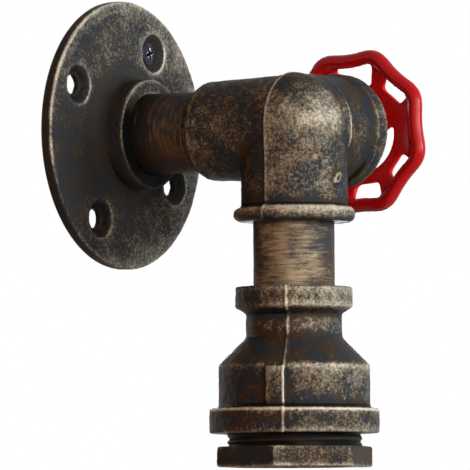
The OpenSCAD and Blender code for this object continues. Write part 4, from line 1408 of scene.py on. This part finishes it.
def spliceRadius(height, low, high):
    # flared ends, and two dents pressed in from above
    size = splices
    flare = sum(math.exp(-((height - end) / size["flareLength"]) ** 2) for end in (low, high))
    dents = [low + (high - low) * share for share in size["dents"]]
    dent = sum(math.exp(-((height - middle) / size["dentLength"]) ** 2) for middle in dents)

    def radius(angle):
        return size["barrel"] + size["flare"] * flare - size["dent"] * dent * max(0, math.sin(angle)) ** 2
    return radius


def makeSplices():
    size = splices
    front, wall = span("crimp_splices", "y")
    low, high = -wall, -front
    heights = evenly(low, high, size["gap"])
    rows = [(0, low + size["boreDepth"]), (size["bore"], low + size["boreDepth"]), (size["bore"], low)]
    rows += [(spliceRadius(height, low, high), height) for height in heights]
    rows += [(size["bore"], high), (size["bore"], high - size["boreDepth"]), (0, high - size["boreDepth"])]
    shape = None
    for k in (-1, 0, 1):
        turn = math.radians(k * size["step"])
        spot = Matrix.Translation((size["ring"] * math.sin(turn), -size["ring"] * math.cos(turn), 0))
        shape = lathe(rows, onArm @ spot, size["steps"], shape)
    finishPiece(makeObject("crimpSplices", shape), "crimp_splices", "splice_red", crease=size["crease"])


def makeWire(name, node, slot):
    # the same route, rounded
    shape = bmesh.new()
    shape.from_mesh(frame["nodes"][node].data)
    bmesh.ops.remove_doubles(shape, verts=shape.verts, dist=0.01 * mm)
    bmesh.ops.join_triangles(shape, faces=shape.faces, angle_face_threshold=0.7, angle_shape_threshold=1.2)
    piece = makeObject(name, shape)
    piece.modifiers.new("round", "SUBSURF").levels = 2
    settle(piece)
    finishPiece(piece, node, slot)


makeSplices()
for wire in wires:
    makeWire(*wire)


# Studio: pale floor, soft lamps and a white world
studio = {
    "floor": -3400,  # the light hangs on a wall, well above it
    "floorWidth": 16000,
    "floorColour": rgb(0.80, 0.80, 0.80),
    "floorShown": 0.8,
    "world": 0.03,
    "lamps": [  # name, place, size, power and colour
        ("keyLamp", (157, -870, 126), 280, 7.6, (0.80, 0.92, 1)),
        ("frontLamp", (-337, -848, 127), 340, 4.0, (0.94, 0.97, 1)),
        ("sideLamp", (-700, -560, 100), 300, 1.5, (1, 0.62, 0.36)),
        ("leftLamp", (-820, 120, -60), 600, 1.3, (1, 0.42, 0.15)),
        ("rearLamp", (813, 493, 40), 300, 6.0, (1, 1, 1)),
        ("backLamp", (200, 900, 200), 400, 2.5, (1, 1, 1)),
        ("lowLamp", (0, -71, -900), 400, 0.7, (1, 1, 1)),
    ],
}


def backgroundRays(recipe):
    # 1 on rays that see the background, straight, in a gloss or through glass
    rays = [recipe.add("ShaderNodeLightPath", out=kind)
            for kind in ("Is Camera Ray", "Is Glossy Ray", "Is Transmission Ray")]
    return recipe.add("ShaderNodeClamp", None, {0: rays[0] + rays[1] + rays[2]})


def makeStudio():
    scene = bpy.context.scene
    half = studio["floorWidth"] / 2
    shape = bmesh.new()
    bmesh.ops.create_grid(shape, x_segments=8, y_segments=8, size=half * mm)
    floor = makeObject("floor", shape)
    floor.location.z = studio["floor"] * mm
    material, recipe = newFinish("paleFloor")
    cloud = recipe.grain(recipe.place(), 60, 2)
    surface(recipe, {"Base Color": studio["floorColour"], "Roughness": 0.85 + cloud * 0.1,
                     "Emission Color": backgroundRays(recipe), "Emission Strength": studio["floorShown"]})
    floor.data.materials.append(material)
    for name, spot, size, power, colour in studio["lamps"]:
        data = bpy.data.lights.new(name, "AREA")
        data.energy = power
        data.size = size * mm
        data.color = colour
        light = bpy.data.objects.new(name, data)
        light.location = Vector(spot) * mm
        light.visible_camera = False
        light.rotation_euler = (light.location - Vector(photo["aim"]) * mm).to_track_quat("Z", "Y").to_euler()
        scene.collection.objects.link(light)
    scene.world = bpy.data.worlds.new("whiteWorld")
    scene.world.use_nodes = True
    recipe = Recipe(scene.world.node_tree)
    strength = studio["world"] + backgroundRays(recipe) * (1 - studio["world"])
    background = recipe.add("ShaderNodeBackground", None, {"Color": rgb(1, 1, 1), "Strength": strength})
    recipe.add("ShaderNodeOutputWorld", None, {"Surface": background})
    scene.view_settings.view_transform = "Standard"


makeStudio()
print("studio lit")
